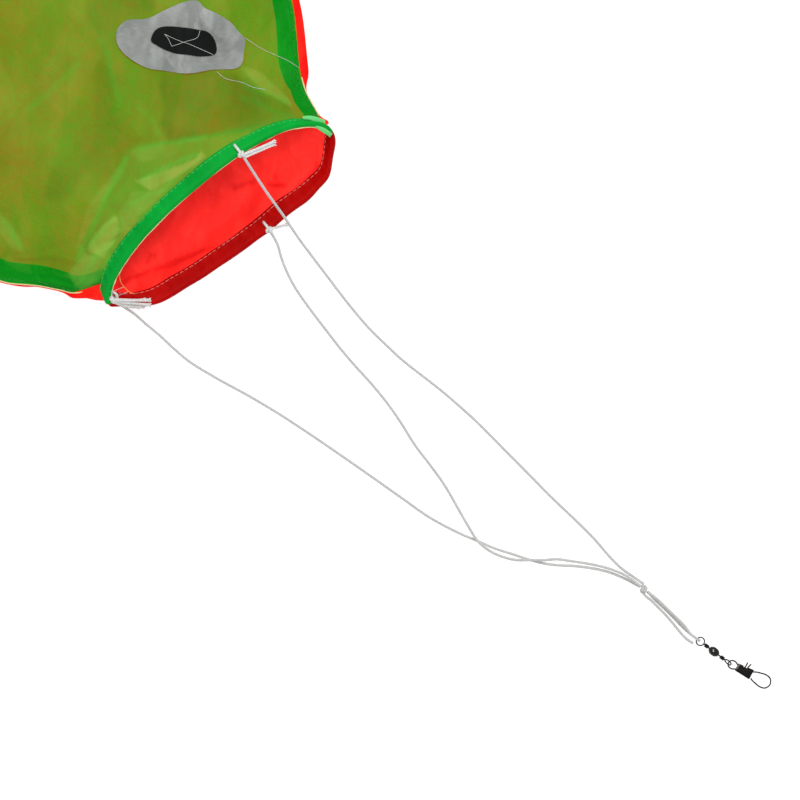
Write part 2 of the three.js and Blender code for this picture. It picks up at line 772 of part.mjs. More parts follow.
// The barrel swivel, along its own axis from the middle of the front ring

const swivel = new THREE.Group();
const barrelStart = FRONT_RING / 2 + METAL_GAP + WRAP_LENGTH + BARREL_STANDOFF;
const barrelEnd = barrelStart + BARREL_LENGTH;
const rearWrapStart = barrelEnd + REAR_NECK;
const rearRing = rearWrapStart + WRAP_LENGTH + METAL_GAP + REAR_RING / 2;
const stemHalf = EYE_WIRE * 0.6;

function rodAlongX(radius, from, to) {
  const rod = new THREE.CylinderGeometry(radius, radius, to - from, 10);
  return rod.rotateZ(-Math.PI / 2).translate((from + to) / 2, 0, 0);
}

class WrapCurve extends THREE.Curve {
  getPoint(t, target = new THREE.Vector3()) {
    const turn = 2 * Math.PI * WRAP_TURNS * t;
    const radius = (WRAP_DIAMETER - EYE_WIRE) / 2;
    const run = WRAP_LENGTH - EYE_WIRE;
    return target.set(EYE_WIRE / 2 + run * t, radius * Math.cos(turn), radius * Math.sin(turn));
  }
}

// An eye: a wire ring, its tail wrapped round the stem, and a head inside the barrel
function eyeWire(ringDiameter, neck) {
  const ring = new THREE.TorusGeometry((ringDiameter - EYE_WIRE) / 2, EYE_WIRE / 2, 6, 22);
  const wrapStart = ringDiameter / 2 + METAL_GAP;
  const wrap = tubeAlong(new WrapCurve(), EYE_WIRE, 5, 24).translate(wrapStart, 0, 0);
  const headStart = wrapStart + WRAP_LENGTH + neck + BARREL_WALL + METAL_GAP;
  const stem = rodAlongX(stemHalf, (ringDiameter - EYE_WIRE) / 2, headStart + STEM_HEAD_LENGTH / 2);
  const head = rodAlongX(STEM_HEAD / 2, headStart, headStart + STEM_HEAD_LENGTH);
  return joined(ring, stem, wrap, head);
}

function makeBarrel() {
  const bore = stemHalf + METAL_GAP;
  const radius = BARREL_DIAMETER / 2;
  const half = BARREL_LENGTH / 2;
  const inner = radius - BARREL_WALL;
  const side = [
    [bore, half],
    [radius * 0.55, half],
    [radius * 0.62, half * 0.84],
    [radius * 0.9, half * 0.6],
    [radius, 0],
  ];
  const cavity = [
    [inner, 0],
    [inner * 0.92, half * 0.5],
    [STEM_HEAD / 2 + METAL_GAP, half - BARREL_WALL],
    [bore, half - BARREL_WALL],
  ];
  const mirrored = (points) => points.map(([r, x]) => [r, -x]).toReversed();
  const outline = [...side, ...mirrored(side).slice(1), ...mirrored(cavity), ...cavity.slice(1), side[0]];
  const upright = outline.map(([r, x]) => new THREE.Vector2(r, -x));
  const barrel = new THREE.LatheGeometry(upright, 16).rotateZ(-Math.PI / 2);
  barrel.translate((barrelStart + barrelEnd) / 2, 0, 0);
  addPiece(swivel, "swivel_barrel", geometryFrom(solidFrom(barrel)), blackNickel);
}

function makeSwivel() {
  addPiece(swivel, "swivel_front_eye", eyeWire(FRONT_RING, BARREL_STANDOFF), blackNickel);
  makeBarrel();
  const rear = eyeWire(REAR_RING, REAR_NECK).rotateX(Math.PI / 2).rotateZ(Math.PI);
  addPiece(swivel, "swivel_rear_eye", rear.translate(rearRing, 0, 0), blackNickel);
  swivel.position.copy(RING);
  swivel.rotation.z = SWIVEL_TURN;
  bridle.add(swivel);
}

// The snap, in its own plane, from the wire's near bow at the rear eye

const snap = new THREE.Group();
const wireHalf = SNAP_WIRE / 2;
const foldOuter = wireHalf + METAL_GAP + PLATE_SHEET;
const plateEnd = PLATE_START + PLATE_LENGTH;
const plateSpread = (x) => {
  const share = (x - PLATE_START) / PLATE_LENGTH;
  return 1 + (PLATE_HALF_FAR / PLATE_HALF_NEAR - 1) * share;
};
const legAt = (x) => (PLATE_HALF_NEAR - foldOuter) * plateSpread(x);
const flatRoute = (points) => smoothCurve(points.map(([x, y]) => new THREE.Vector3(x, y, 0)));

// A strip folded along one edge round the wire, and open along the other
function makePlate() {
  const foldInner = wireHalf + METAL_GAP;
  const foldAt = -(PLATE_HALF_NEAR - foldOuter);
  const section = new THREE.Shape();
  section.moveTo(PLATE_HALF_NEAR, foldOuter);
  section.lineTo(foldAt, foldOuter);
  section.absarc(foldAt, 0, foldOuter, Math.PI / 2, -Math.PI / 2, false);
  section.lineTo(PLATE_HALF_NEAR, -foldOuter);
  section.lineTo(PLATE_HALF_NEAR, -foldInner);
  section.lineTo(foldAt, -foldInner);
  section.absarc(foldAt, 0, foldInner, -Math.PI / 2, Math.PI / 2, true);
  section.lineTo(PLATE_HALF_NEAR, foldInner);
  const drawn = { depth: PLATE_LENGTH, bevelEnabled: false, curveSegments: 6 };
  const plate = new THREE.ExtrudeGeometry(section, drawn);
  plate.applyMatrix4(new THREE.Matrix4().makeBasis(alongY, alongZ, alongX)).translate(PLATE_START, 0, 0);
  const place = plate.getAttribute("position");
  for (let k = 0; k < place.count; k++) place.setY(k, place.getY(k) * plateSpread(place.getX(k)));
  const notch = new THREE.BoxGeometry(NOTCH_LENGTH, 2 * NOTCH_DEPTH, 4);
  const notchMiddle = NOTCH_START + NOTCH_LENGTH / 2;
  notch.translate(notchMiddle, PLATE_HALF_NEAR * plateSpread(notchMiddle), 0);
  addPiece(snap, "snap_plate", cutBy(plate, notch), blackNickel);
}

function makeSnapWire() {
  const bend = SNAP_WIRE * 0.9;
  const prong = NOTCH_START + NOTCH_LENGTH * 0.25;
  const bow = [
    [PLATE_START * 0.58, BOW_HALF_WIDTH],
    [PLATE_START * 0.17, BOW_HALF_WIDTH * 0.7],
  ];
  const below = ([x, y]) => [x, -y];
  const lowerLegEnd = plateEnd + METAL_GAP;
  addPiece(
    snap,
    "snap_wire",
    tubeAlong(
      flatRoute([
        [prong - 0.1, legAt(prong) + bend + PRONG_REACH],
        [prong, legAt(prong) + bend],
        [prong - bend * 0.3, legAt(prong) + bend * 0.3],
        [prong - bend, legAt(prong - bend)],
        [PLATE_START, legAt(PLATE_START)],
        ...bow,
        [0, 0],
        ...bow.toReversed().map(below),
        [PLATE_START, -legAt(PLATE_START)],
        [(PLATE_START + plateEnd) / 2, -legAt((PLATE_START + plateEnd) / 2)],
        [lowerLegEnd, -legAt(lowerLegEnd)],
      ]),
      SNAP_WIRE,
      6,
      48,
    ),
    blackNickel,
  );
}

// The gate: the sprung far loop of the wire, whose free leg hooks over the plate's open edge
function makeSnapGate() {
  const bend = SNAP_WIRE * 0.9;
  const start = plateEnd + GAP + METAL_GAP;
  const prong = NOTCH_START + NOTCH_LENGTH * 0.75;
  const tip = plateEnd + GATE_LENGTH - wireHalf;
  const wide = plateEnd + GATE_LENGTH * 0.6;
  addPiece(
    snap,
    "snap_gate",
    tubeAlong(
      flatRoute([
        [start, -legAt(start)],
        [start + GATE_SPREAD, -GATE_NEAR_HALF],
        [wide, -GATE_HALF_WIDTH],
        [tip - GATE_HALF_WIDTH * 0.42, -GATE_HALF_WIDTH * 0.78],
        [tip, 0],
        [tip - GATE_HALF_WIDTH * 0.42, GATE_HALF_WIDTH * 0.78],
        [wide, GATE_HALF_WIDTH],
        [start + GATE_SPREAD, GATE_NEAR_HALF],
        [plateEnd, legAt(plateEnd)],
        [prong + bend, legAt(prong + bend)],
        [prong + bend * 0.3, legAt(prong) + bend * 0.3],
        [prong, legAt(prong) + bend],
        [prong + 0.25, legAt(prong) + bend + PRONG_REACH],
      ]),
      SNAP_WIRE,
      6,
      48,
    ),
    blackNickel,
  );
}

function makeSnap() {
  makePlate();
  makeSnapWire();
  makeSnapGate();
  snap.position.set(rearRing + SNAP_SEAT_FORWARD, 0, -SNAP_SEAT_DOWN);
  snap.rotation.set(0, SNAP_DROOP, SNAP_TURN, "ZYX");
  swivel.add(snap);
}

makeHoop();
makeHems();
makeSidePanel("green_side_panel", UPPER, greenCloth);
makeSidePanel("red_side_panel", UNDER, redCloth);
makeTail("tail_upper", UPPER, greenCloth);
makeTail("tail_under", UNDER, redCloth);
makeFin("back_fin", BACK_FIN, backLine, 1, greenCloth);
makeFin("belly_fin", BELLY_FIN, bellyLine, -1, redCloth);
makeEyes();
makeLeg("corner", cornerTie(), CORNER_LEG, CORNER_LEG_END);
makeLeg("lower", hemTie(LOWER_TIE_ANGLE), LOWER_LEG, LOWER_LEG_END);
makeLeg("upper", hemTie(UPPER_TIE_ANGLE), UPPER_LEG, UPPER_LEG_END);
makeKnot();
makeLoop();
makeSwivel();
makeSnap();

// The origin is under the middle of the fish
const middle = new THREE.Box3().setFromObject(fish).getCenter(new THREE.Vector3());
const windsock = new THREE.Group();
for (const half of [fish, bridle]) {
  half.position.set(-middle.x, -middle.y, 0);
  windsock.add(half);
}

export default windsock;
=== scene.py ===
import math

import bpy
import numpy as np
from mathutils import Matrix, Vector
from mathutils.bvhtree import BVHTree


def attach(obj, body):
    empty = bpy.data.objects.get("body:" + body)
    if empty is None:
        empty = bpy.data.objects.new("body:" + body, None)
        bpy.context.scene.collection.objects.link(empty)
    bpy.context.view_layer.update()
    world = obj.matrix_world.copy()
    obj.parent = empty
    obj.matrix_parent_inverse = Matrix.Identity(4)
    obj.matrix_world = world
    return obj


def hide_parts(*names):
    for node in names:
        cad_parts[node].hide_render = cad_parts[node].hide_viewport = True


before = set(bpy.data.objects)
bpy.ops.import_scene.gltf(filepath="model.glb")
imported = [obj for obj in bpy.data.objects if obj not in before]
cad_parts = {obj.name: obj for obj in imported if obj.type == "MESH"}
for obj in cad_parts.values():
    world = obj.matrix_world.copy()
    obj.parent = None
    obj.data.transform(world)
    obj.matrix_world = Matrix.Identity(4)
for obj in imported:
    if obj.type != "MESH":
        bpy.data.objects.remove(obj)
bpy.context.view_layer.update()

# Sizes are in millimetres from the middle of the mouth, on the ground, and are turned to metres
# when a mesh is made.
MM = 0.001
MOUTH = np.array((0.305849, -0.0058026, 0.0))

# The mouth
HOOP_HALF_WIDTH = 54
HOOP_LEAN = 14
LIP_LOW = 3.1
LIP_RISE = 25
LIP_SAG = 1.6
HEM_HALF = 1.6
HEM_DEPTH = 4.8
HEM_TAIL = 0.5
HOOP_WIRE = 1.4
FERRULE = 2.2
FERRULE_BORE = 1.6
FERRULE_AT = 245
FERRULE_SPREAD = 10.2

# The body
GAP = 0.3
CLOTH = 0.4
BODY_LENGTH = 456.8
MOUTH_BLEND = 120
CORNER_EASE = 1.8
SEAM_HEIGHT = 3
BODY_LOFT = 34
TAIL_LOFT = 13
LOFT_FROM = 190
CHEEK_LIFT = 2.4
CHEEK_LENGTH = 75
GATHER_DEPTH = 1.6
GATHER_COUNT = 5
GATHER_STATION = 60
GATHER_SPREAD = 45
SEAM_ALLOWANCE = 9.5
CORNER_END = -12
UNDER_GAP = 0.4
LOWEST = 0.15
RAW_BACK_END = -24
BODY_START = -4.4
PANEL_ROWS, PANEL_COLUMNS = 150, 96
LOWER_DRIFT = (
    (-54, 0), (-50.6, 1.5), (-45.4, 2.3), (-40.4, 2.5), (-31.7, 1.5), (-20.9, 1.1), (-9.6, 0.8), (1.7, 1.1),
    (10.5, 1.4), (19.8, 1.5), (30.1, 3.0), (36.6, 3.5), (43, 3.7), (49.4, 0.9), (54, 0),
)
UPPER_DRIFT = ((-54, 0), (-45, 0.9), (-28, 1), (-8, 0.8), (10, 0), (27, -1), (40, -1.4), (48, -0.8), (54, 0))
BACK_STATIONS = ((0, 54), (15, 57), (46, 74.2), (190, 118), (345, 84), (BODY_LENGTH, 46))
BELLY_STATIONS = (
    (BODY_START, 54), (-1, 56), (0.8, 60.3), (2.6, 65), (6.6, 68.5), (13, 74), (26, 86.5), (175, 140), (335, 96),
    (BODY_LENGTH, 46),
)

# Fins and tail
TAIL_LENGTH = 165
TAIL_ROOT_HALF = 46
TAIL_TIP_HALF = 138
TAIL_FORK = 70
TAIL_END_LOFT = 5
FIN_END_HEIGHT = 6
FIN_RIPPLE = 1.2
# Each fin's start and end along its seam, its height and how far its edge leans back
BACK_FIN = (120, 330, 52, 40)
BELLY_FIN = (235, 345, 40, 34)

# Creases of the green side as points, height and half width
CREASES = (
    (((-18.6, -57.7), (-26.3, -41.5), (-37.1, -19.6), (-40.1, -13.9)), -1.8, 2.4),
    (((-40.1, -13.9), (-34.9, -3.1), (-29.1, 7.7), (-20.1, 25.3), (-16.6, 33.9)), -1.6, 2.0),
    (((-28.0, -20.0), (-25.7, -6.6), (-21.9, 8.6)), 1.5, 2.4),
    (((-20.0, -51.8), (-22.6, -32.7)), 1.7, 2.2),
    (((-11.7, -47.4), (-20.4, -31.0)), -1.2, 1.8),
    (((-10.3, -64.2), (-14.3, -51.2), (-16.4, -39.7)), 1.6, 1.6),
    (((-75.6, -37.8), (-76.8, -23.3), (-78.0, -4.3)), -0.9, 2.6),
    (((-83.0, 5.8), (-68.3, -0.5), (-52.7, -7.0)), 0.9, 3.0),
    (((-36.4, 35.8), (-26.4, 42.5), (-16.0, 48.4)), 0.9, 1.6),
    (((-33.0, 32.0), (-23.5, 38.0), (-14.5, 43.0)), 0.8, 1.5),
    (((-51.1, -69.5), (-35.0, -70.9)), -0.9, 2.4),
    (((-9.1, -63.3), (-10.2, -53.1), (-13.0, -39.5)), 1.2, 1.0),
    (((-8.0, -56.8), (-10.9, -50.4), (-12.5, -41.0)), -1.2, 0.9),
    (((-23.0, -31.2), (-22.2, -21.6), (-19.0, -11.0), (-19.5, -3.1), (-18.9, 6.2)), 0.9, 1.0),
    (((-52.9, -0.9), (-43.2, 0.5), (-35.6, -1.0)), 0.7, 1.6),
)

# Creases of the red side that show in the mouth
MOUTH_CREASES = (
    (((-2.6, -46.8), (0.8, -34.7), (4.6, -22.9), (7.7, -10.5)), -1.3, 0.9),
    (((-5.5, -31.4), (-2.5, -36.6)), -1.1, 0.9),
    (((-5.2, -32.4), (-2.5, -30.7)), -0.8, 0.8),
    (((-6.2, 8.9), (-4.8, 13.6), (-2.9, 19.5)), -1.1, 1.0),
    (((0.2, 21.6), (2.9, 23.2), (6.6, 28.1)), -1.3, 0.9),
    (((-4.1, 31.9), (-1.2, 28.5), (1.7, 24.5)), -1.0, 1.3),
    (((8.8, 27.6), (9.4, 35.6), (7.1, 43.4)), -1.1, 1.2),
    (((-1.9, -51.2), (-2.4, -45.9), (-1.7, -40.4)), 0.9, 0.9),
)

# Facets of the green side that catch the light, each with how strongly
LIT_FACETS = (
    (0.75, (
        (-29.6, -19.5), (-26.6, -11.7), (-24.8, -6.6), (-22.8, -0.6), (-21.5, 4.4), (-22.6, 8.8), (-19.8, 8.5),
        (-19.3, 4.3), (-19.6, 0.3), (-20.0, -5.9), (-21.1, -11.6), (-21.8, -16.4), (-25.4, -18.0),
    )),
    (0.7, (
        (-20.4, -50.4), (-22.8, -43.7), (-23.4, -38.9), (-23.5, -33.9), (-22.1, -32.8), (-19.8, -34.0),
        (-16.6, -37.0), (-14.8, -41.1), (-12.5, -47.4), (-15.9, -49.0), (-19.0, -50.9),
    )),
    (0.45, (
        (-23.5, -31.6), (-26.9, -22.6), (-22.1, -16.5), (-20.2, -6.0), (-17.9, -12.1), (-17.6, -18.8), (-16.6, -26.1),
        (-14.4, -33.2), (-14.3, -37.3), (-20.0, -33.4),
    )),
    (0.4, (
        (-40.4, 40.8), (-36.2, 44.7), (-32.5, 46.2), (-17.4, 48.9), (-15.8, 47.2), (-22.6, 44.2), (-27.8, 41.6),
    )),
    (0.35, (
        (-39.9, -14.5), (-38.5, -9.1), (-34.0, -1.7), (-26.9, 2.6), (-28.5, -3.7), (-32.8, -12.3), (-35.4, -15.7),
    )),
    (0.3, (
        (-53.1, -69.5), (-48.6, -68.5), (-39.9, -68.6), (-34.5, -71.6), (-38.5, -74.0), (-46.5, -74.5),
    )),
    (0.45, (
        (-16.6, -62.4), (-19.3, -51.5), (-12.8, -48.0), (-9.6, -54.6), (-6.8, -56.7), (-8.4, -63.1),
    )),
    (0.3, (
        (-32.1, -40.6), (-37.8, -21.0), (-34.9, -20.0), (-30.3, -31.1), (-26.4, -41.6), (-22.2, -54.6),
        (-26.6, -49.1),
    )),
)

# Facets of the green side that lie in shade, each with how strongly
SHADED_FACETS = (
    (0.9, (
        (-56.1, 15.8), (-45.1, 31.7), (-39.1, 38.1), (-26.4, 41.7), (-16.6, 47.5), (-8.3, 51.1), (-12.6, 38.9),
        (-20.4, 22.8), (-27.7, 11.8), (-33.4, 0.7), (-41.1, 2.1), (-44.0, 7.1), (-52.3, 10.6),
    )),
    (0.6, (
        (-100.6, 10.9), (-83.0, 34.0), (-77.6, 26.6), (-82.1, 15.7), (-80.4, 9.9), (-79.7, 5.0), (-89.6, 3.7),
    )),
    (0.4, (
        (-46.0, -53.7), (-39.4, -42.1), (-47.2, -26.3), (-45.1, -14.7), (-49.6, -9.0), (-54.2, -12.2), (-53.9, -23.4),
        (-52.1, -41.4),
    )),
    (0.4, (
        (-79.0, 4.5), (-62.4, -2.6), (-54.5, -9.7), (-39.7, -7.7), (-42.6, -14.4), (-53.7, -20.3), (-70.6, -6.3),
    )),
)

# How the light cloth settles
SETTLING = {
    "quality": 5,
    "mass": 0.02,
    "tension_stiffness": 12,
    "compression_stiffness": 12,
    "shear_stiffness": 4,
    "bending_stiffness": 0.02,
    "air_damping": 2,
}
SETTLING_STEPS = 20
SETTLING_MOST = 5.0

# The eye's patch and its pupil
EYE_OUTLINE = (
    (-76.8, 9.4), (-78.6, 12.2), (-78.9, 16.3), (-75.0, 22.6), (-73.8, 30.0), (-72.5, 36.8), (-69.7, 42.5),
    (-65.3, 43.1), (-61.0, 45.6), (-55.2, 48.0), (-50.3, 48.2), (-47.0, 48.6), (-43.5, 45.5), (-38.9, 40.0),
    (-44.2, 31.8), (-47.4, 25.0), (-50.4, 20.5), (-55.0, 15.7), (-59.6, 10.9), (-66.9, 7.7), (-72.6, 7.2),
)
EYE_SHIFT = (-1.2, 0.4)
PUPIL_OUTLINE = (
    (-52.3, 38.5), (-48.5, 35.6), (-51.3, 30.3), (-53.8, 27.7), (-56.7, 24.5), (-58.6, 22.7), (-61.7, 20.6),
    (-64.8, 19.2), (-67.4, 18.7), (-69.7, 23.2), (-67.5, 28.1), (-63.7, 32.4), (-60.3, 35.8), (-57.0, 38.6),
)

# The cords, each a route from its tie to the knot
CORD = 1.2
CORD_PITCH = 3.6
STRAND = 0.57
STRAND_OUT = 0.43
FLARE_LENGTH = 2.6
KNOT = (220.8, 43.5, 1.9)
CORNER_LEG = (
    (3.4, -54.2, 12.4), (7.2, -52.9, 8.6), (11.0, -51.8, 4.4), (15.3, -51.0, 1.5), (23.2, -49.2, 0.7),
    (31.3, -47.8, 0.7), (38.9, -46.0, 0.7), (51.8, -40.9, 0.7), (64.3, -35.3, 0.7), (77.3, -30.1, 0.7),
    (90.8, -25.3, 0.7), (104.6, -20.7, 0.7), (118.5, -16.2, 0.7), (132.4, -11.8, 0.7), (146.4, -7.3, 0.7),
    (158.7, -1.6, 0.7), (165.5, 2.3, 0.7), (171.9, 5.9, 0.7), (177.8, 10.0, 0.7), (184.0, 14.3, 0.7),
    (188.6, 17.9, 0.7), (192.5, 21.9, 0.7), (196.9, 27.1, 0.7), (202.6, 32.8, 0.7), (207.3, 36.6, 0.7),
    (212.9, 39.9, 0.7),
)
LOWER_LEG = (
    (18.3, 11.0, 2.9), (23.0, 10.2, 1.9), (27.5, 8.4, 0.9), (33.7, 6.6, 0.7), (41.0, 5.4, 0.7),
    (51.0, 5.0, 0.7), (60.8, 5.0, 0.7), (70.7, 5.1, 0.7), (79.9, 5.6, 0.7), (88.8, 6.4, 0.7),
    (98.1, 6.8, 0.7), (108.4, 6.5, 0.7), (119.7, 5.5, 0.7), (129.5, 5.5, 0.7), (139.8, 5.2, 0.7),
    (151.7, 3.7, 0.85), (158.8, 2.8, 1.7), (165.4, 2.3, 2.3), (170.6, 3.4, 2.1), (175.7, 5.9, 1.7),
    (180.4, 9.6, 1.9), (184.0, 14.3, 2.3), (187.4, 18.7, 2.3), (190.3, 23.1, 2.2), (194.4, 27.2, 2.1),
    (198.5, 31.2, 2.0), (202.8, 35.0, 2.0), (207.0, 38.1, 2.1), (212.4, 41.1, 2.4),
)
UPPER_LEG = (
    (-8.4, 20.2, 27.2), (-3.5, 19.8, 23.6), (3.8, 19.3, 18.6), (10.0, 19.1, 14.2), (15.4, 19.0, 10.6),
    (21.0, 18.7, 7.1), (26.9, 18.4, 4.2), (33.3, 18.4, 2.1), (40.0, 18.4, 1.0), (46.0, 18.4, 0.72),
    (53.2, 18.4, 0.7), (62.9, 18.6, 0.7), (71.9, 19.2, 0.7), (80.1, 20.4, 0.7), (88.5, 21.8, 0.7),
    (95.8, 23.6, 0.7), (103.1, 25.6, 0.7), (110.6, 27.5, 0.7), (118.3, 29.1, 0.7), (126.2, 30.6, 0.7),
    (134.6, 31.8, 0.7), (143.2, 32.9, 0.7), (151.4, 34.0, 0.7), (160.0, 35.1, 0.7), (168.6, 36.2, 0.7),
    (176.6, 37.5, 0.7), (184.9, 38.8, 0.7), (193.4, 39.9, 0.7), (202.6, 40.5, 0.75), (208.8, 41.4, 1.1),
    (214.0, 43.0, 1.6),
)
LOOP_TAIL = (
    (226.4, 43.1, 1.1), (230.0, 43.6, 0.7), (234.6, 44.2, 0.65), (239.5, 44.5, 0.65),
    (244.7, 44.7, 0.65), (247.8, 45.2, 0.65), (250.0, 46.0, 0.65),
)
# The ties' cut ends
TIE_TAILS = {
    "upper": (
        ((-10.6, 20.4, 28.3), (-11.0, 21.4, 29.0), (-10.6, 23.6, 28.4), (-9.8, 27.0, 27.4), (-8.3, 34.1, 25.2)),
        ((-10.2, 20.8, 27.6), (-9.8, 23.0, 27.4), (-8.8, 27.4, 26.2), (-7.6, 33.4, 24.2)),
    ),
    "lower": (((16.2, 11.4, 5.0), (16.6, 12.6, 4.6), (17.3, 14.2, 3.6), (18.0, 16.2, 2.4), (18.7, 18.2, 1.4)),),
    "corner": (
        ((1.6, -54.4, 14.2), (3.6, -52.4, 14.4), (6.4, -48.8, 13.0), (10.4, -43.2, 9.8)),
        ((1.8, -54.8, 14.0), (4.8, -52.2, 13.2), (8.0, -48.6, 11.2), (11.8, -44.4, 8.4)),
        ((2.0, -55.0, 13.6), (5.2, -53.0, 12.0), (8.2, -50.0, 10.0), (10.9, -46.9, 7.6)),
        ((1.6, -54.6, 14.4), (4.0, -51.6, 13.8), (6.8, -48.0, 12.0), (9.2, -44.6, 10.4)),
        ((2.0, -55.2, 13.4), (5.0, -53.6, 11.2), (7.6, -51.2, 9.0), (9.9, -48.4, 6.8)),
    ),
}

# The swivel's and the snap's own frames, from their packed places
SWIVEL = Matrix((
    (0.962218, -0.27228, 0, 0.556949),
    (0.27228, 0.962218, 0, 0.0429974),
    (0, 0, 1, 0.0018),
    (0, 0, 0, 1),
))
SNAP = Matrix((
    (0.906533, -0.419452, 0.047509, 0.5705451),
    (0.418877, 0.907777, 0.021952, 0.0468447),
    (-0.052336, 0, 0.99863, 0.00134),
    (0, 0, 0, 1),
))

# The swivel's wires, and the snap's plate and wires in its own frame
EYE_WIRE = 0.5
STEM = 0.6
WRAP_WIRE = 0.54
WRAP_RADIUS = 0.54
WRAP_TURNS = 3.4
FRONT_RING, REAR_RING = 3.8, 3.5
BARREL_AT, REAR_RING_AT = 6.75, 13.8
REAR_RING_TURN = -25
BARREL_SIDE = (
    (0.4, 2.1), (0.9, 2.1), (0.97, 2.03), (0.98, 1.88), (1.05, 1.74), (1.28, 1.55), (1.49, 1.28), (1.62, 0.92),
    (1.685, 0.48), (1.7, 0),
)
BARREL_HOLLOW = ((1.25, 0), (1.15, 1.05), (0.7, 1.65), (0.4, 1.65))
PLATE_START, PLATE_END = 3.8, 10.4
NOTCH_START, NOTCH_END = 5.9, 8.3
NOTCH_DEPTH = 0.45
PLATE_HALF = 1.6
PLATE_END_HALF = 2.1
PLATE_FACE, PLATE_INSIDE = 0.63, 0.38
SNAP_WIRE = 0.56
WIRE_BEND = 0.504
PRONG = 2.1
LOOP_LENGTH = 8.8
LOOP_HALF = 2.7

# Stitches
STITCH_THREAD = 0.13
STITCH_LIFT = 0.12


# The view and the light

def make_camera():
    data = bpy.data.cameras.new("view")
    data.sensor_width = 36
    data.lens = 123.75
    data.clip_end = 20
    camera = bpy.data.objects.new("view", data)
    camera.location = (0.4076, 0.0058, 1.1)
    camera.rotation_euler = (0, 0, math.radians(52.77))
    bpy.context.scene.collection.objects.link(camera)
    bpy.context.scene.camera = camera


def soft_box(name, place, aim, size, power):
    data = bpy.data.lights.new(name, "AREA")
    data.shape = "SQUARE"
    data.size = size
    data.energy = power
    light = bpy.data.objects.new(name, data)
    light.location = place
    light.rotation_euler = (Vector(aim) - Vector(place)).to_track_quat("-Z", "Y").to_euler()
    bpy.context.scene.collection.objects.link(light)


def make_studio():
    scene = bpy.context.scene
    scene.view_settings.view_transform = "Standard"
    world = bpy.data.worlds.new("studio")
    world.use_nodes = True
    world.node_tree.nodes["Background"].inputs["Color"].default_value = (1, 1, 1, 1)
    world.node_tree.nodes["Background"].inputs["Strength"].default_value = 0.36
    scene.world = world
    soft_box("key_light", (0.0, 0.75, 1.3), (0.3, 0, 0), 0.5, 11)
    soft_box("top_light", (0.42, -0.05, 1.6), (0.35, 0, 0), 0.5, 10)
    floor = mesh_piece("floor", [(-4, -4, 0), (4, -4, 0), (4, 4, 0), (-4, 4, 0)], [(0, 1, 2, 3)], paper_finish())


# Meshes

def ease(t):
    u = np.clip(t, 0, 1)
    return u * u * (3 - 2 * u)


def between(a, b, share):
    return a + (b - a) * share


def to_row(points):
    return np.asarray(points, float) * MM + MOUTH


def length_along(line):
    """The length along a line up to each of its points."""
    return np.concatenate([[0], np.cumsum(np.linalg.norm(np.diff(line, axis=0), axis=1))])


def soft_noise(x, y, size, seed):
    """Smooth noise from -1 to 1 whose swells are about that size."""
    table = np.random.default_rng(seed).uniform(-1, 1, (64, 64))
    u, v = np.asarray(x, float) / size, np.asarray(y, float) / size
    i, j = np.floor(u).astype(int), np.floor(v).astype(int)
    f, g = ease(u - i), ease(v - j)
    low = between(table[i % 64, j % 64], table[(i + 1) % 64, j % 64], f)
    high = between(table[i % 64, (j + 1) % 64], table[(i + 1) % 64, (j + 1) % 64], f)
    return between(low, high, g)


def mesh_piece(name, points, faces, finish, uv=None):
    mesh = bpy.data.meshes.new(name)
    mesh.from_pydata([tuple(map(float, p)) for p in points], [], faces)
    mesh.materials.append(finish)
    mesh.shade_smooth()
    if uv is not None:
        corners = np.zeros(len(mesh.loops), int)
        mesh.loops.foreach_get("vertex_index", corners)
        layer = mesh.uv_layers.new(name="cloth")
        layer.data.foreach_set("uv", np.asarray(uv, np.float32)[corners].ravel())
    piece = bpy.data.objects.new(name, mesh)
    bpy.context.scene.collection.objects.link(piece)
    return piece


def grid_faces(rows, columns, closed=False, flip=False, ring=False):
    """The faces of a grid of points, closed across its columns, or into a ring along its rows as well."""
    faces = []
    for i in range(rows if ring else rows - 1):
        for j in range(columns if closed else columns - 1):
            k, n = (j + 1) % columns, (i + 1) % rows
            face = (i * columns + j, i * columns + k, n * columns + k, n * columns + j)
            faces.append(face[::-1] if flip else face)
    return faces


def cloth_sheet(name, grid, finish, flip=False):
    """A single sheet of cloth on a grid of points in millimetres, with its weave laid along the plan."""
    rows, columns = grid.shape[:2]
    points = to_row(grid.reshape(-1, 3))
    return mesh_piece(name, points, grid_faces(rows, columns, flip=flip), finish, uv=points[:, :2])


def sleeve(name, rings, finish):
    """A closed casing of cloth on rings of points in millimetres."""
    steps, sides = rings.shape[:2]
    points = to_row(rings.reshape(-1, 3))
    faces = grid_faces(steps, sides, closed=True, flip=True)
    faces.append(tuple(range(sides)))
    faces.append(tuple(reversed(range((steps - 1) * sides, steps * sides))))
    along = length_along(rings[:, 0]) * MM
    round_way = np.linspace(0, 2 * HEM_DEPTH * MM, sides)
    uv = np.stack(np.meshgrid(along, round_way, indexing="ij"), -1).reshape(-1, 2)
    return mesh_piece(name, points, faces, finish, uv=uv)


def smooth_route(points, step):
    """A smooth line through the points, with points a step apart."""
    p = np.asarray(points, float)
    p = np.vstack([2 * p[0] - p[1], p, 2 * p[-1] - p[-2]])
    line = []
    for a, b, c, d in zip(p[:-3], p[1:-2], p[2:-1], p[3:]):
        ka, kb, kc = (max(np.linalg.norm(q - r), 1e-9) ** 0.5 for q, r in ((b, a), (c, b), (d, c)))
        t = np.linspace(0, 1, 12, endpoint=False)[:, None] * kb
        ab = ((ka + t) * b - t * a) / ka
        bc = ((kb - t) * b + t * c) / kb
        cd = ((kb + kc - t) * c + (t - kb) * d) / kc
        abc = ((kb - t) * ab + (ka + t) * bc) / (ka + kb)
        bcd = ((kb + kc - t) * bc + t * cd) / (kb + kc)
        line.append(((kb - t) * abc + t * bcd) / kb)
    return spaced(np.vstack([*line, p[-2][None]]), step)


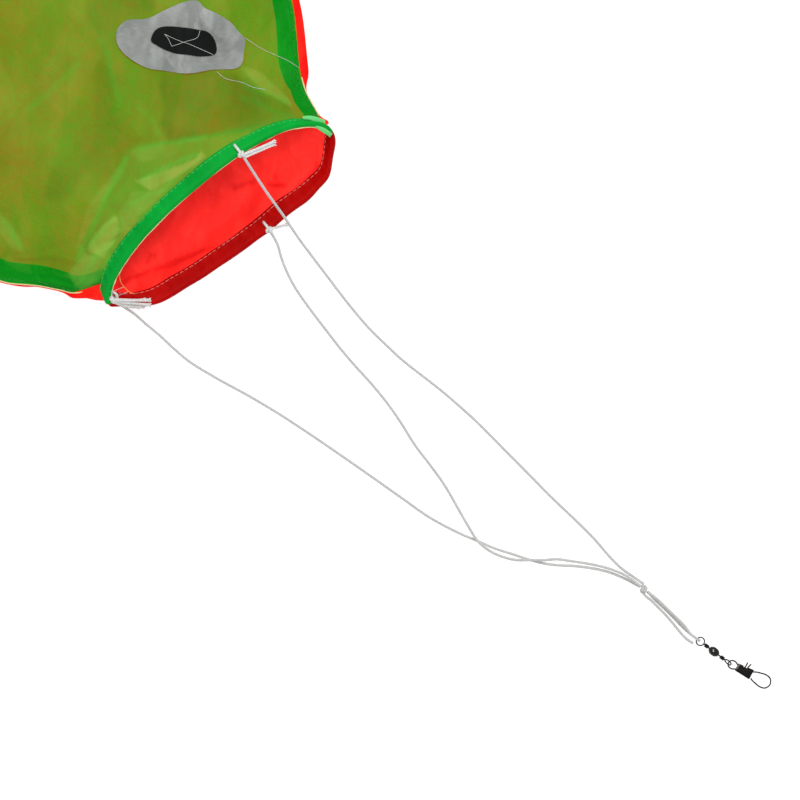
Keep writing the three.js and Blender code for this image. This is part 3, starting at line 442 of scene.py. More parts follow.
def spaced(line, step):
    along = length_along(line)
    count = max(2, int(round(along[-1] / step)) + 1)
    at = np.linspace(0, along[-1], count)
    return np.stack([np.interp(at, along, line[:, k]) for k in range(3)], -1)


def frames_along(line, closed=False):
    """Side directions that turn along a line without twisting."""
    ahead = np.gradient(line, axis=0)
    if closed:
        ahead = np.roll(line, -1, 0) - np.roll(line, 1, 0)
    ahead /= np.linalg.norm(ahead, axis=1)[:, None]
    start = np.array((0, 0, 1.0)) if abs(ahead[0, 2]) < 0.9 else np.array((0, 1.0, 0))
    side = np.cross(ahead[0], start)
    sides = []
    for t in ahead:
        side = side - t * (side @ t)
        side = side / np.linalg.norm(side)
        sides.append(side)
    sides = np.array(sides)
    ups = np.cross(ahead, sides)
    if closed:
        side = side - ahead[0] * (side @ ahead[0])
        turn = -math.atan2(side @ ups[0], side @ sides[0]) * np.arange(len(line)) / len(line)
        sides = np.cos(turn)[:, None] * sides + np.sin(turn)[:, None] * ups
        ups = np.cross(ahead, sides)
    return ahead, sides, ups


def tube_points(line, radius, sides, closed=False):
    """Points and faces of a round tube along a line; the radius may change along it."""
    _, across, upward = frames_along(line, closed)
    turn = np.linspace(0, 2 * math.pi, sides, endpoint=False)
    radius = np.broadcast_to(radius, len(line))[:, None, None]
    ring = np.cos(turn)[None, :, None] * across[:, None] + np.sin(turn)[None, :, None] * upward[:, None]
    points = (line[:, None] + radius * ring).reshape(-1, 3)
    count = len(line)
    faces = grid_faces(count, sides, closed=True, ring=closed)
    if not closed:
        faces.append(tuple(reversed(range(sides))))
        faces.append(tuple(range((count - 1) * sides, count * sides)))
    return points, faces


def rounded_ends(line, radius, reach):
    """A radius along a line that closes in a dome at both ends."""
    along = length_along(line)
    from_end = np.minimum(along, along[-1] - along)
    share = np.clip(from_end / (radius * reach), 0.02, 1)
    return radius * np.sqrt(1 - (1 - share) ** 2)


def gathered(parts):
    """Several point and face lists as one."""
    points, faces, start = [], [], 0
    for p, f in parts:
        points.append(p)
        faces.extend(tuple(start + k for k in face) for face in f)
        start += len(p)
    return np.vstack(points), faces


def tube_piece(name, lines, finish):
    """One piece of several tubes, each a line, a radius and a count of sides."""
    points, faces = gathered([tube_points(line, radius, sides) for line, radius, sides in lines])
    return mesh_piece(name, to_row(points), faces, finish)


# Finishes

def new_finish(name):
    finish = bpy.data.materials.new(name)
    finish.use_nodes = True
    return finish, finish.node_tree, finish.node_tree.nodes["Principled BSDF"]


def add(tree, kind, **settings):
    made = tree.nodes.new(kind)
    for key, value in settings.items():
        setattr(made, key, value)
    return made


def linked(tree, kind, inputs, **settings):
    """A node with some inputs linked and some set."""
    made = add(tree, kind, **settings)
    for key, value in inputs.items():
        if isinstance(value, bpy.types.NodeSocket):
            tree.links.new(value, made.inputs[key])
        else:
            made.inputs[key].default_value = value
    return made


def swells(tree, size, detail, seed):
    """Even noise from 0 to 1 on the object, with swells of a size in metres."""
    place = add(tree, "ShaderNodeTexCoord").outputs["Object"]
    shifted = linked(tree, "ShaderNodeMapping", {"Vector": place, "Location": (seed, 2.3 * seed, 0)})
    noise = {"Vector": shifted.outputs["Vector"], "Scale": 1 / size, "Detail": detail}
    return linked(tree, "ShaderNodeTexNoise", noise).outputs["Fac"]


def ranged(tree, value, low, high, to_low, to_high):
    ends = {"From Min": low, "From Max": high, "To Min": to_low, "To Max": to_high}
    return linked(tree, "ShaderNodeMapRange", {"Value": value, **ends}).outputs["Result"]


def times(tree, a, b):
    return linked(tree, "ShaderNodeMath", {0: a, 1: b}, operation="MULTIPLY").outputs[0]


def grain(tree, size, seed, strength, distance):
    """Fine bumps with swells of a size in metres."""
    bumps = {"Height": swells(tree, size, 2.0, seed), "Strength": strength, "Distance": distance}
    return linked(tree, "ShaderNodeBump", bumps).outputs["Normal"]


def woven_normal(tree, pitch, depth, crinkle, crinkle_size):
    """A plain weave of threads over the crinkles of light cloth."""
    threads = add(tree, "ShaderNodeTexCoord").outputs["UV"]
    waves = [
        linked(tree, "ShaderNodeTexWave", {"Vector": threads, "Scale": math.pi / (10 * pitch)}, bands_direction=way)
        for way in "XY"
    ]
    cloth = linked(
        tree, "ShaderNodeMath", {0: waves[0].outputs["Fac"], 1: waves[1].outputs["Fac"]}, operation="MAXIMUM"
    )
    place = add(tree, "ShaderNodeTexCoord").outputs["Object"]
    fold = linked(
        tree, "ShaderNodeTexNoise", {"Vector": place, "Scale": 1 / crinkle_size, "Detail": 3.0, "Distortion": 0.6}
    )
    ridge = linked(tree, "ShaderNodeMath", {0: fold.outputs["Fac"], 1: 0.5}, operation="SUBTRACT")
    sharp = linked(tree, "ShaderNodeMath", {0: ridge.outputs[0]}, operation="ABSOLUTE")
    crumple = linked(tree, "ShaderNodeBump", {"Height": sharp.outputs[0], "Strength": 0.6, "Distance": crinkle})
    return linked(
        tree,
        "ShaderNodeBump",
        {"Height": cloth.outputs[0], "Strength": 0.35, "Distance": depth, "Normal": crumple.outputs["Normal"]},
    ).outputs["Normal"]


def tinted(tree, share, a, b):
    """One colour turned to another by a share; each is three numbers or comes from another node."""
    made = linked(tree, "ShaderNodeMix", {"Factor": share}, data_type="RGBA")
    for name, colour in (("A", a), ("B", b)):
        socket = next(s for s in made.inputs if s.name == name and s.type == "RGBA")
        if isinstance(colour, bpy.types.NodeSocket):
            tree.links.new(colour, socket)
        else:
            socket.default_value = (*colour, 1)
    return next(s for s in made.outputs if s.type == "RGBA")


def toned(tree, cloth, value, colour):
    """The cloth's colour, turned half way to another one where the value on the mesh is 1."""
    share = add(tree, "ShaderNodeAttribute", attribute_name=value).outputs["Fac"]
    return tinted(tree, times(tree, share, 0.5), cloth, colour)


def nylon_finish(name, dark, light, roughness, crinkle, crinkle_size, sheen=0.0, pale=None):
    """Light woven nylon; with a pale colour, its lit facets turn towards that as painted light, and its shaded facets
    turn towards a darker copy of its colour as painted shade.
    """
    finish, tree, shader = new_finish(name)
    blotch = swells(tree, 0.022, 4.0, 1.7)
    cloth = tinted(tree, ranged(tree, blotch, 0.3, 0.7, 0, 1), dark, light)
    if pale:
        cloth = toned(tree, cloth, "lit_facet", pale)
        cloth = toned(tree, cloth, "shaded_facet", [0.4 * part for part in dark])
    tree.links.new(cloth, shader.inputs["Base Color"])
    tree.links.new(
        ranged(tree, swells(tree, 0.009, 2.0, 4.1), 0.3, 0.7, roughness - 0.06, roughness + 0.06),
        shader.inputs["Roughness"],
    )
    tree.links.new(woven_normal(tree, 0.00042, 0.00006, crinkle, crinkle_size), shader.inputs["Normal"])
    shader.inputs["Sheen Weight"].default_value = sheen
    shader.inputs["Sheen Roughness"].default_value = 0.4
    shader.inputs["Specular IOR Level"].default_value = 0.045
    return finish


def thin_nylon_finish(name, dark, light, roughness, crinkle, crinkle_size, pale, most_seen_through, painted_glow):
    """Single nylon: what lies close behind it shows through, and its own colour is given off as a painted glow, which
    stands in for light coming through from behind and lightens its shade.
    """
    finish = nylon_finish(name, dark, light, roughness, crinkle, crinkle_size, pale=pale)
    tree = finish.node_tree
    shader = tree.nodes["Principled BSDF"]
    near = add(tree, "ShaderNodeAttribute", attribute_name="show_through").outputs["Fac"]
    # Painted glow: the base colour is given off as light, which lightens the cloth's shade.
    tree.links.new(shader.inputs["Base Color"].links[0].from_socket, shader.inputs["Emission Color"])
    shader.inputs["Emission Strength"].default_value = painted_glow
    fine = ranged(tree, swells(tree, 0.0022, 2.0, 7.9), 0.32, 0.68, 0.86, 1.12)
    broad = ranged(tree, swells(tree, 0.05, 2.0, 3.3), 0.3, 0.7, 0.9, 1.08)
    seen = times(tree, times(tree, near, most_seen_through), times(tree, fine, broad))
    solid = linked(tree, "ShaderNodeMath", {0: 1.0, 1: seen}, operation="SUBTRACT", use_clamp=True).outputs[0]
    tree.links.new(solid, shader.inputs["Alpha"])
    return finish


def thread_finish(name, dark, light):
    finish, tree, shader = new_finish(name)
    tree.links.new(tinted(tree, swells(tree, 0.0012, 3.0, 5.5), dark, light), shader.inputs["Base Color"])
    tree.links.new(grain(tree, 0.00018, 2.2, 0.4, 0.00005), shader.inputs["Normal"])
    shader.inputs["Roughness"].default_value = 0.7
    shader.inputs["Sheen Weight"].default_value = 0.25
    return finish


def metal_finish(name, dark, light, roughness):
    finish, tree, shader = new_finish(name)
    tree.links.new(tinted(tree, swells(tree, 0.0016, 3.0, 6.1), dark, light), shader.inputs["Base Color"])
    tree.links.new(
        ranged(tree, swells(tree, 0.0007, 3.0, 8.8), 0.3, 0.7, roughness - 0.07, roughness + 0.1),
        shader.inputs["Roughness"],
    )
    tree.links.new(grain(tree, 0.0003, 9.4, 0.12, 0.00004), shader.inputs["Normal"])
    shader.inputs["Metallic"].default_value = 1.0
    shader.inputs["Specular Tint"].default_value = (0.2, 0.2, 0.2, 1)
    return finish


def paper_finish():
    finish, _, shader = new_finish("white_ground")
    shader.inputs["Base Color"].default_value = (0.4, 0.4, 0.4, 1)
    shader.inputs["Roughness"].default_value = 0.95
    shader.inputs["Specular IOR Level"].default_value = 0.0
    shader.inputs["Emission Color"].default_value = (1, 1, 1, 1)
    shader.inputs["Emission Strength"].default_value = 0.8
    return finish


# The cloth's form

def lip_point(angle):
    angle = np.asarray(angle, float)
    share = (1 + np.sin(angle)) / 2
    return np.stack(
        [-HOOP_LEAN * np.sin(angle), HOOP_HALF_WIDTH * np.cos(angle), LIP_LOW + LIP_RISE * share**LIP_SAG], -1
    )


def profile(points):
    """A smooth line through stations and heights."""
    s, h = np.array(points, float).T
    low, high = np.maximum(np.arange(len(s)) - 1, 0), np.minimum(np.arange(len(s)) + 1, len(s) - 1)
    slope = (h[high] - h[low]) / (s[high] - s[low])

    def at(station):
        i = np.clip(np.searchsorted(s, station, side="right") - 1, 0, len(s) - 2)
        span = s[i + 1] - s[i]
        t = (station - s[i]) / span
        return (
            h[i] * (2 * t**3 - 3 * t**2 + 1)
            + slope[i] * span * (t**3 - 2 * t**2 + t)
            + h[i + 1] * (3 * t**2 - 2 * t**3)
            + slope[i + 1] * span * (t**3 - t**2)
        )

    return at


back_line = profile(BACK_STATIONS)
belly_line = profile(BELLY_STATIONS)
lower_drift = profile(LOWER_DRIFT)
upper_drift = profile(UPPER_DRIFT)


def hoop_line(angle):
    """The hoop as it lies, which is fuller than an even oval at the corners of the lower lip."""
    line = lip_point(angle)
    over = np.clip(line[..., 1], -HOOP_HALF_WIDTH, HOOP_HALF_WIDTH)
    line[..., 0] += np.where(np.sin(angle) > 0, upper_drift(over), lower_drift(over))
    return line


def body_point(upper, station, angle):
    """The body's cloth at a station behind the mouth, round from the back seam."""
    blend = ease(station / MOUTH_BLEND)
    lip = hoop_line(angle)
    rise = np.abs(np.sin(angle))
    back, belly = back_line(np.maximum(station, 0)), belly_line(np.maximum(station, BODY_START))
    middle, half = (back - belly) / 2, (back + belly) / 2
    corner = CORNER_EASE * np.cos(angle) ** 4 * (1 - blend)
    x = lip[..., 0] * (1 - blend) - HEM_DEPTH - GAP - corner - station
    y = middle + half * np.cos(angle)
    seam = between(lip_point(0.0)[2], SEAM_HEIGHT, blend)
    off_seam = (GAP / 2 + CLOTH) * ease(station / 3)
    if upper:
        loft = between(BODY_LOFT, TAIL_LOFT, ease((station - LOFT_FROM) / (BODY_LENGTH - LOFT_FROM)))
        near = np.exp(-(((station - GATHER_STATION) / GATHER_SPREAD) ** 2))
        gathers = GATHER_DEPTH * near * np.sin(GATHER_COUNT * 2 * angle) * np.sin(angle)
        z = between(lip[..., 2], seam + loft * rise**1.3, blend) + gathers + off_seam
    else:
        edge = 1 - np.minimum(1, rise / 0.6)
        lift = CHEEK_LIFT * (1 - edge) * (1 - ease((station - CHEEK_LENGTH) / CHEEK_LENGTH))
        z = between(lip[..., 2], seam * edge**2 + lift, blend)
        z = np.maximum(0.2, z - off_seam * edge)
    return np.stack([x, y, z], -1)


def panel_grid(upper):
    share = np.linspace(0, 1, PANEL_ROWS + 1)
    station = between(BODY_START, BODY_LENGTH, share**1.25)
    turn = np.linspace(0, math.pi, PANEL_COLUMNS + 1) + (0 if upper else math.pi)
    return body_point(upper, *np.meshgrid(station, turn, indexing="ij"))


def off_line(x, y, line):
    """How far plan points lie from a line, and how far along it from 0 to 1."""
    best, along = np.full(np.shape(x), np.inf), np.zeros(np.shape(x))
    count = len(line) - 1
    for k in range(count):
        (ax, ay), (bx, by) = line[k], line[k + 1]
        dx, dy = bx - ax, by - ay
        t = np.clip(((x - ax) * dx + (y - ay) * dy) / (dx * dx + dy * dy), 0, 1)
        d = np.hypot(x - ax - t * dx, y - ay - t * dy)
        along = np.where(d < best, (k + t) / count, along)
        best = np.minimum(best, d)
    return best, along


def crease_height(x, y, creases=CREASES):
    """The creases' height, and how near a point is to one of their lines."""
    height, near = np.zeros(np.shape(x)), np.zeros(np.shape(x))
    for line, rise, width in creases:
        d, along = off_line(x, y, line)
        fade = ease(np.minimum(along, 1 - along) / 0.18 + 0.15)
        height += rise * fade * np.exp(-(np.sqrt(d * d + 0.3) - 0.55) / width)
        near = np.maximum(near, min(1, abs(rise) / 1.5) * fade * np.exp(-((d / 1.1) ** 2)))
    return height, near


def facets(x, y, size, seed):
    """Crumpled cloth: the height of flat facets of about that size and a tone for each, from -1 to 1."""
    table = np.random.default_rng(seed).uniform(-1, 1, (3, 64, 64))
    u = x / size + 0.4 * soft_noise(x, y, 2.3 * size, seed + 1)
    v = y / size + 0.4 * soft_noise(x, y, 2.3 * size, seed + 2)
    u, v = u + 0.45 * v, 0.85 * v
    i, j = np.floor(u).astype(int), np.floor(v).astype(int)
    a, b = u - i, v - j
    corners = ((0, 0), (1, 0), (0, 1), (1, 1))
    low, right, up, far = (table[0][(i + di) % 64, (j + dj) % 64] for di, dj in corners)
    first = a + b < 1
    near_height = low + a * (right - low) + b * (up - low)
    far_height = far + (1 - a) * (up - far) + (1 - b) * (right - far)
    height = np.where(first, near_height, far_height)
    rim = np.where(first, np.minimum(np.minimum(a, b), 1 - a - b), np.minimum(np.minimum(1 - a, 1 - b), a + b - 1))
    tone = np.where(first, table[1][i % 64, j % 64], table[2][i % 64, j % 64])
    return height, tone * ease(rim / 0.07)


def inside(x, y, outline, soft):
    """1 inside a plan outline and 0 outside it, with an edge of that softness."""
    p = np.asarray(outline, float)
    within = np.zeros(np.shape(x), bool)
    for (ax, ay), (bx, by) in zip(p, np.roll(p, -1, axis=0)):
        crosses = (ay > y) != (by > y)
        within ^= crosses & (x < ax + (y - ay) * (bx - ax) / (by - ay if by != ay else 1e-9))
    d = off_line(x, y, np.vstack([p, p[:1]]))[0]
    return ease(np.where(within, d, -d) / soft + 0.5)


def crumpled(name, grid, growth, push):
    """The grid again after light, slightly loose cloth has settled in it with its held points still."""
    rows, columns = grid.shape[:2]
    scene = bpy.context.scene
    cloth = mesh_piece(name + "_settling", to_row(grid.reshape(-1, 3)), grid_faces(rows, columns), None)
    group = cloth.vertex_groups.new(name="held")
    held = held_edges()
    for value in (1.0, 0.5):
        group.add(np.flatnonzero(np.isclose(held.ravel(), value)).tolist(), value, "REPLACE")
    settle = cloth.modifiers.new("settle", "CLOTH").settings
    for key, value in SETTLING.items():
        setattr(settle, key, value)
    settle.shrink_min = -growth
    settle.vertex_group_mass = "held"
    settle.use_pressure = True
    settle.uniform_pressure_force = push
    settle.effector_weights.gravity = 0.1
    for step in range(1, SETTLING_STEPS + 1):
        scene.frame_set(step)
    shown = cloth.evaluated_get(bpy.context.evaluated_depsgraph_get())
    settled = np.zeros(rows * columns * 3, np.float32)
    shown.data.vertices.foreach_get("co", settled)
    scene.frame_set(1)
    bpy.data.objects.remove(cloth)
    moved = (settled.reshape(rows, columns, 3) - MOUTH) / MM - grid
    size = np.linalg.norm(moved, axis=-1, keepdims=True)
    return grid + moved * np.minimum(1, SETTLING_MOST / np.maximum(size, 1e-9))


def held_edges():
    held = np.zeros((PANEL_ROWS + 1, PANEL_COLUMNS + 1))
    held[:3] = held[-1:] = 1
    held[:, :2] = held[:, -2:] = 1
    held[3:5, 2:-2] = 0.5
    return held


def looseness(station, edge):
    """How freely a side's cloth moves: 0 at the mouth and the seams, 1 inside."""
    inner = np.abs(np.sin(np.linspace(0, math.pi, PANEL_COLUMNS + 1)))[None, :]
    return ease(station / 9) * ease(inner / edge)


def make_green_side(finish):
    grid = panel_grid(True)
    x, y = grid[..., 0], grid[..., 1]
    swell = 0.5 * soft_noise(x, y, 30, 11) + 0.9 * facets(x, y, 23, 12)[0] + 0.35 * facets(x, y, 9, 16)[0]
    grid[..., 2] += looseness(-x - HEM_DEPTH, 0.12) * (crease_height(x, y)[0] + swell)
    grid = crumpled("green_side", grid, 0.012, 0.3)
    piece = cloth_sheet("green_side", grid, finish, flip=True)
    subdivided(piece)
    x, y = plan_of(piece)
    on_fold = crease_height(x, y)[1]
    fold_x, fold_y = np.array([(-16.0, -80), *CREASES[0][0], *CREASES[1][0][1:], (-12.0, 60)]).T
    behind = ease((np.interp(y, fold_y, fold_x) - x + 1.2 * soft_noise(x, y, 9, 13) + 2) / 4)
    high, tone = facets(x, y, 23, 12)
    small_tone = facets(x, y, 9, 16)[1]
    close = between(0.72, 1.0, behind) * (1 - 0.1 * high + 0.09 * tone + 0.06 * small_tone)
    close *= 1 - 0.2 * ease((y - 22) / 25) - 0.12 * ease((-y - 45) / 25)
    station = np.maximum(0, -x - HEM_DEPTH)
    off_seams = np.minimum(back_line(station) - y, belly_line(station) + y)
    band = 1 - ease((off_seams - SEAM_ALLOWANCE + 1.5) / 1.5)
    close = between(close, 1.0, band)
    # Painted shade on the listed shaded facets, which also show less of the red behind them.
    shaded = np.zeros(len(x))
    for strength, outline in SHADED_FACETS:
        shaded = np.maximum(shaded, strength * inside(x, y, outline, 3) * (0.8 + 0.4 * soft_noise(x, y, 9, 14)))
    shaded = np.clip(shaded * (1 - band), 0, 1)
    set_value(piece, "shaded_facet", shaded)
    set_value(piece, "show_through", np.clip(close * (1 - 0.55 * on_fold) * (1 - 0.25 * shaded), 0, 1))
    # Painted light: lighter in front of the long fold, on facets with a high tone and along the creases, and most on
    # the listed lit facets.
    lit = (1 - band) * (0.16 * (1 - behind) + 0.1 * np.maximum(0, tone) + 0.06 * np.maximum(0, small_tone))
    lit += 0.12 * on_fold
    for strength, outline in LIT_FACETS:
        lit = np.maximum(lit, strength * inside(x, y, outline, 1.5) * (0.9 + 0.2 * soft_noise(x, y, 5, 15)))
    set_value(piece, "lit_facet", np.clip(lit, 0, 1))
    return piece, grid


def make_red_side(finish, over):
    grid = panel_grid(False)
    x, y = grid[..., 0], grid[..., 1]
    station = -x - HEM_DEPTH
    folds = crease_height(x, y, MOUTH_CREASES)[0] * ease((station + 12) / 6)
    swell = 0.55 + 0.55 * facets(x, y, 17, 23)[0] + 0.3 * facets(x, y, 7, 24)[0]
    grid[..., 2] += looseness(station, 0.15) * swell + folds
    grid = crumpled("red_side", grid, 0.012, 0.0)
    grid[..., 2] = np.maximum(grid[..., 2], LOWEST)
    belly, back = -grid[:, 0, 0] - HEM_DEPTH, -grid[:, -1, 0] - HEM_DEPTH
    pouch = 0.8 + 7 * np.exp(-(((belly - 0.9) / 3.6) ** 2))
    strip = 2.6 + 1.2 * np.exp(-(((back - 26) / 16) ** 2))
    strip = 0.35 + strip * ease((back - 13.5) / 5) + 1.8 * np.exp(-(((back + 1.8) / 2.2) ** 2))
    belly = rolled_edge(grid[:, 0], grid[:, 1], pouch)
    back = rolled_edge(grid[:, -1], grid[:, -2], strip)
    grid = np.concatenate([belly[:, ::-1], grid, back], axis=1)
    keep_under(grid, over)
    piece = cloth_sheet("red_side", grid, finish)
    subdivided(piece)
    x, y = plan_of(piece)
    # Painted light in the mouth: the red is lighter towards the lower lip and where y passes 22 mm, and darker under
    # the upper lip; each facet gets a painted tone, and the mouth's creases get painted shade.
    tone = 0.28 * facets(x, y, 17, 23)[1] + 0.2 * facets(x, y, 7, 24)[1]
    near = crease_height(x, y, MOUTH_CREASES)[1]
    set_value(piece, "show_through", np.full(len(x), 0.5))
    lit = 0.3 + 0.5 * ease((x + 11) / 11) + 0.3 * ease((y - 22) / 8) * ease((x + 25) / 10)
    set_value(piece, "lit_facet", np.clip(lit + tone - 1.2 * near, 0, 1))
    return piece


def rolled_edge(edge, next_in, reach):
    """A seam edge that rolls out past the green side and turns up to its seam."""
    reach = reach * ease((-edge[:, 0] - HEM_DEPTH + 5) / 4)
    away = np.sign(edge[:, 1] - next_in[:, 1])
    columns = []
    for share, rise in ((0.55, -0.25), (0.9, 0.0), (1.0, 0.45), (0.8, 0.85), (0.25, 1.0), (-0.3, 1.05)):
        column = edge.copy()
        column[:, 1] += away * reach * share
        column[:, 2] += rise * np.minimum(1, reach) - 0.35 * reach * min(share, 0.9)
        column[:, 2] = np.maximum(LOWEST, column[:, 2])
        columns.append(column)
    return np.stack(columns, axis=1)


def keep_under(grid, over):
    """Hold the points behind the mouth's corners a little below the cloth that lies over them."""
    for point in grid.reshape(-1, 3):
        above = height_on(over, point[0], point[1], from_above=False) if point[0] < CORNER_END else 0
        if above > 0:
            point[2] = max(LOWEST, min(point[2], above - UNDER_GAP))


def plan_of(piece):
    points = np.zeros(3 * len(piece.data.vertices), np.float32)
    piece.data.vertices.foreach_get("co", points)
    points = (points.reshape(-1, 3) - MOUTH) / MM
    return points[:, 0], points[:, 1]


def set_value(piece, name, values):
    made = piece.data.attributes.new(name, "FLOAT", "POINT")
    made.data.foreach_set("value", np.asarray(values, np.float32).ravel())


def subdivided(piece):
    finer = piece.modifiers.new("finer", "SUBSURF")
    finer.levels = finer.render_levels = 1
    shown = piece.evaluated_get(bpy.context.evaluated_depsgraph_get())
    rough = piece.data
    piece.data = bpy.data.meshes.new_from_object(shown)
    piece.modifiers.clear()
    bpy.data.meshes.remove(rough)
    piece.data.name = piece.name
    piece.data.shade_smooth()


def inward(grid, from_back, depths):
    """Points at set depths in from a seam edge, row by row along the body."""
    rows = grid if from_back else grid[:, ::-1]
    made = []
    for row in rows:
        made.append(np.stack([np.interp(depths, length_along(row), row[:, k]) for k in range(3)], -1))
    return np.array(made)


def make_allowance(name, grid, from_back, finish, drop):
    """The turned-in edge of a side, which lies against its inner face along a seam."""
    ragged = 0.6 * soft_noise(grid[:, 0, 0], grid[:, 0, 1], 14, 31 + from_back)
    depths = np.linspace(0.3, SEAM_ALLOWANCE, 8)
    strip = inward(grid, from_back, depths)[2:]
    strip[:, -1, 1] += ragged[2:] * (-1 if from_back else 1)
    strip[..., 2] -= drop
    return cloth_sheet(name, strip, finish, flip=from_back == (drop > 0))


# Hems, hoop and raw edges

def hem_section():
    front = [(HEM_HALF * math.cos(t), HEM_HALF * math.sin(t)) for t in np.linspace(-math.pi / 2, math.pi / 2, 13)]
    slope = np.linspace(0, 1, 8)[1:]
    upper = [(-HEM_DEPTH * s, between(HEM_HALF, HEM_TAIL, ease(s) ** 0.8)) for s in slope]
    lower = [(a, -b) for a, b in upper[::-1]]
    return np.array(front + upper + lower)


def hem_depth(angles):
    """The hem is narrower towards the right corner of both lips."""
    upper = between(0.4, 1.0, ease((np.asarray(angles) - 0.2) / 1.35))
    lower = between(1.17, 0.9, ease((np.asarray(angles) - 5.2) / 0.4))
    return HEM_DEPTH * np.where(np.sin(angles) > 0, upper, lower)


def hem_middle(angles):
    """The hoop's line, with the hems' ends drawn out past it at the left corner."""
    end = np.exp(-((np.abs(np.asarray(angles) - math.pi) / 0.2) ** 2))
    return hoop_line(angles) + end[..., None] * np.array((0.8, -2.6, -1.2))


def hem_aside(angles):
    """The way across the hem, shorter at the right corner, where the hem is slim."""
    tangent = hoop_line(angles + 1e-3) - hoop_line(angles - 1e-3)
    aside = np.cross((1.0, 0, 0), tangent)
    slim = between(0.55, 1.0, ease(np.minimum(angles, 2 * math.pi - angles) / 0.35))
    return aside / np.linalg.norm(aside, axis=1)[:, None] * slim[:, None]


def hem_rings(angles, seed):
    middle, aside = hem_middle(angles), hem_aside(angles)
    forward = np.array((1.0, 0, 0))
    along = length_along(middle)
    section = hem_section()
    back = np.clip(-section[:, 0] / HEM_DEPTH, 0, 1)
    pucker = 0.22 * np.sin(2 * math.pi * along / 4.6 + 2.2 * soft_noise(along, along * 0, 17, seed))[:, None] * back
    swell = 1 + 0.1 * soft_noise(along, along * 0, 6.5, seed + 1)[:, None] * (1 - back)
    shallow = (hem_depth(angles) / HEM_DEPTH)[:, None]
    ahead = section[None, :, 0] * np.where(section[None, :, 0] > 0, swell, shallow)
    ahead = ahead - 0.35 * soft_noise(along, along * 0 + 5, 9, seed + 2)[:, None] * back
    over = section[None, :, 1] * swell + pucker
    return middle[:, None] + ahead[..., None] * forward + over[..., None] * aside[:, None]


def hem_line(angles, ahead, over):
    ahead = np.broadcast_to(ahead, len(angles))[:, None]
    return hem_middle(angles) + ahead * np.array((1.0, 0, 0)) + over * hem_aside(angles)


def make_hems(green, red, cream):
    upper_angles = np.linspace(0.012, math.pi - 0.02, 176)
    lower_angles = np.linspace(math.pi + 0.08, 2 * math.pi - 0.012, 170)
    upper = sleeve("upper_lip_hem_cloth", hem_rings(upper_angles, 41), green)
    lower = sleeve("lower_lip_hem_cloth", hem_rings(lower_angles, 51), red)
    edge_angles = np.linspace(0.1, math.pi - 0.04, 150)
    edge = hem_line(edge_angles, HEM_HALF * 0.93, HEM_HALF * 0.36)
    wander = soft_noise(np.arange(150.0), np.zeros(150), 4, 61)
    edge[:, 0] += 0.08 * wander
    raw_edge = tube_piece("lip_raw_edge", [(edge, 0.27 + 0.06 * wander, 8)], cream)
    return upper, lower, raw_edge


def make_hoop(finish):
    """The sprung hoop as it lies in the hems, and the sleeve that closes it."""
    turn = np.radians(FERRULE_AT + np.linspace(0.4, 359.6, 241))
    hoop = tube_piece("hoop_wire", [(hoop_line(turn), HOOP_WIRE / 2, 10)], finish)
    line = hoop_line(np.radians(FERRULE_AT + np.linspace(-FERRULE_SPREAD, FERRULE_SPREAD, 15)))
    outer = tube_points(line, FERRULE / 2, 16)[0].reshape(15, 16, 3)
    inner = tube_points(line, FERRULE_BORE / 2, 16)[0].reshape(15, 16, 3)
    rings = np.concatenate([outer, inner[::-1], outer[:1]])
    ferrule = mesh_piece("hoop_sleeve", to_row(rings.reshape(-1, 3)), grid_faces(len(rings), 16, closed=True), finish)
    return hoop, ferrule


def make_raw_seams(green_grid, finish):
    """The frayed cut edges of the green side along its two seams."""
    step = 1.2
    edges = []
    for column, end in ((0, RAW_BACK_END), (-1, -BODY_LENGTH)):
        line = spaced(green_grid[3:, column], step)
        line = line[line[:, 0] > end]
        wander = soft_noise(np.arange(len(line)) * step, np.zeros(len(line)), 5, 71 - column)
        line[:, 1] += 0.15 * wander
        line[:, 2] += 0.12
        edges.append((line, 0.24 + 0.07 * wander, 6))
    return tube_piece("green_raw_edges", edges, finish)


def make_flaps(finish):
    """The hem's loose end at the right corner, curled in two flaps."""
    flaps = []
    for name, middle, half in (
        (
            "hem_end_top_flap",
            ((-9.7, 48.3, 20.0), (-7.9, 50.7, 18.8), (-6.0, 52.3, 17.4), (-4.6, 53.4, 16.0), (-3.5, 54.4, 14.8)),
            (0.5, 0.8, 1.0, 0.95, 0.8),
        ),
        (
            "hem_end_low_flap",
            ((-6.6, 49.4, 18.0), (-4.6, 50.6, 17.0), (-1.4, 52.0, 14.8), (0.8, 52.9, 13.0), (2.0, 53.2, 11.6)),
            (0.4, 0.75, 0.95, 0.95, 0.8),
        ),
    ):
        line = smooth_route(middle, 0.7)
        width = np.interp(np.linspace(0, 1, len(line)), np.linspace(0, 1, len(half)), half)
        ahead = np.gradient(line, axis=0)
        side = np.cross(ahead, (0, 0, 1.0))
        side /= np.linalg.norm(side, axis=1)[:, None]
        across = np.linspace(-1, 1, 9)
        curl = 0.55 * width[:, None] * (1 - across**2)
        grid = line[:, None] + width[:, None, None] * across[None, :, None] * side[:, None]
        grid[..., 2] += curl + 0.2 * soft_noise(grid[..., 0], grid[..., 1], 3, 97)
        flaps.append(cloth_sheet(name, grid, finish, flip=True))
    return flaps


# Stitches

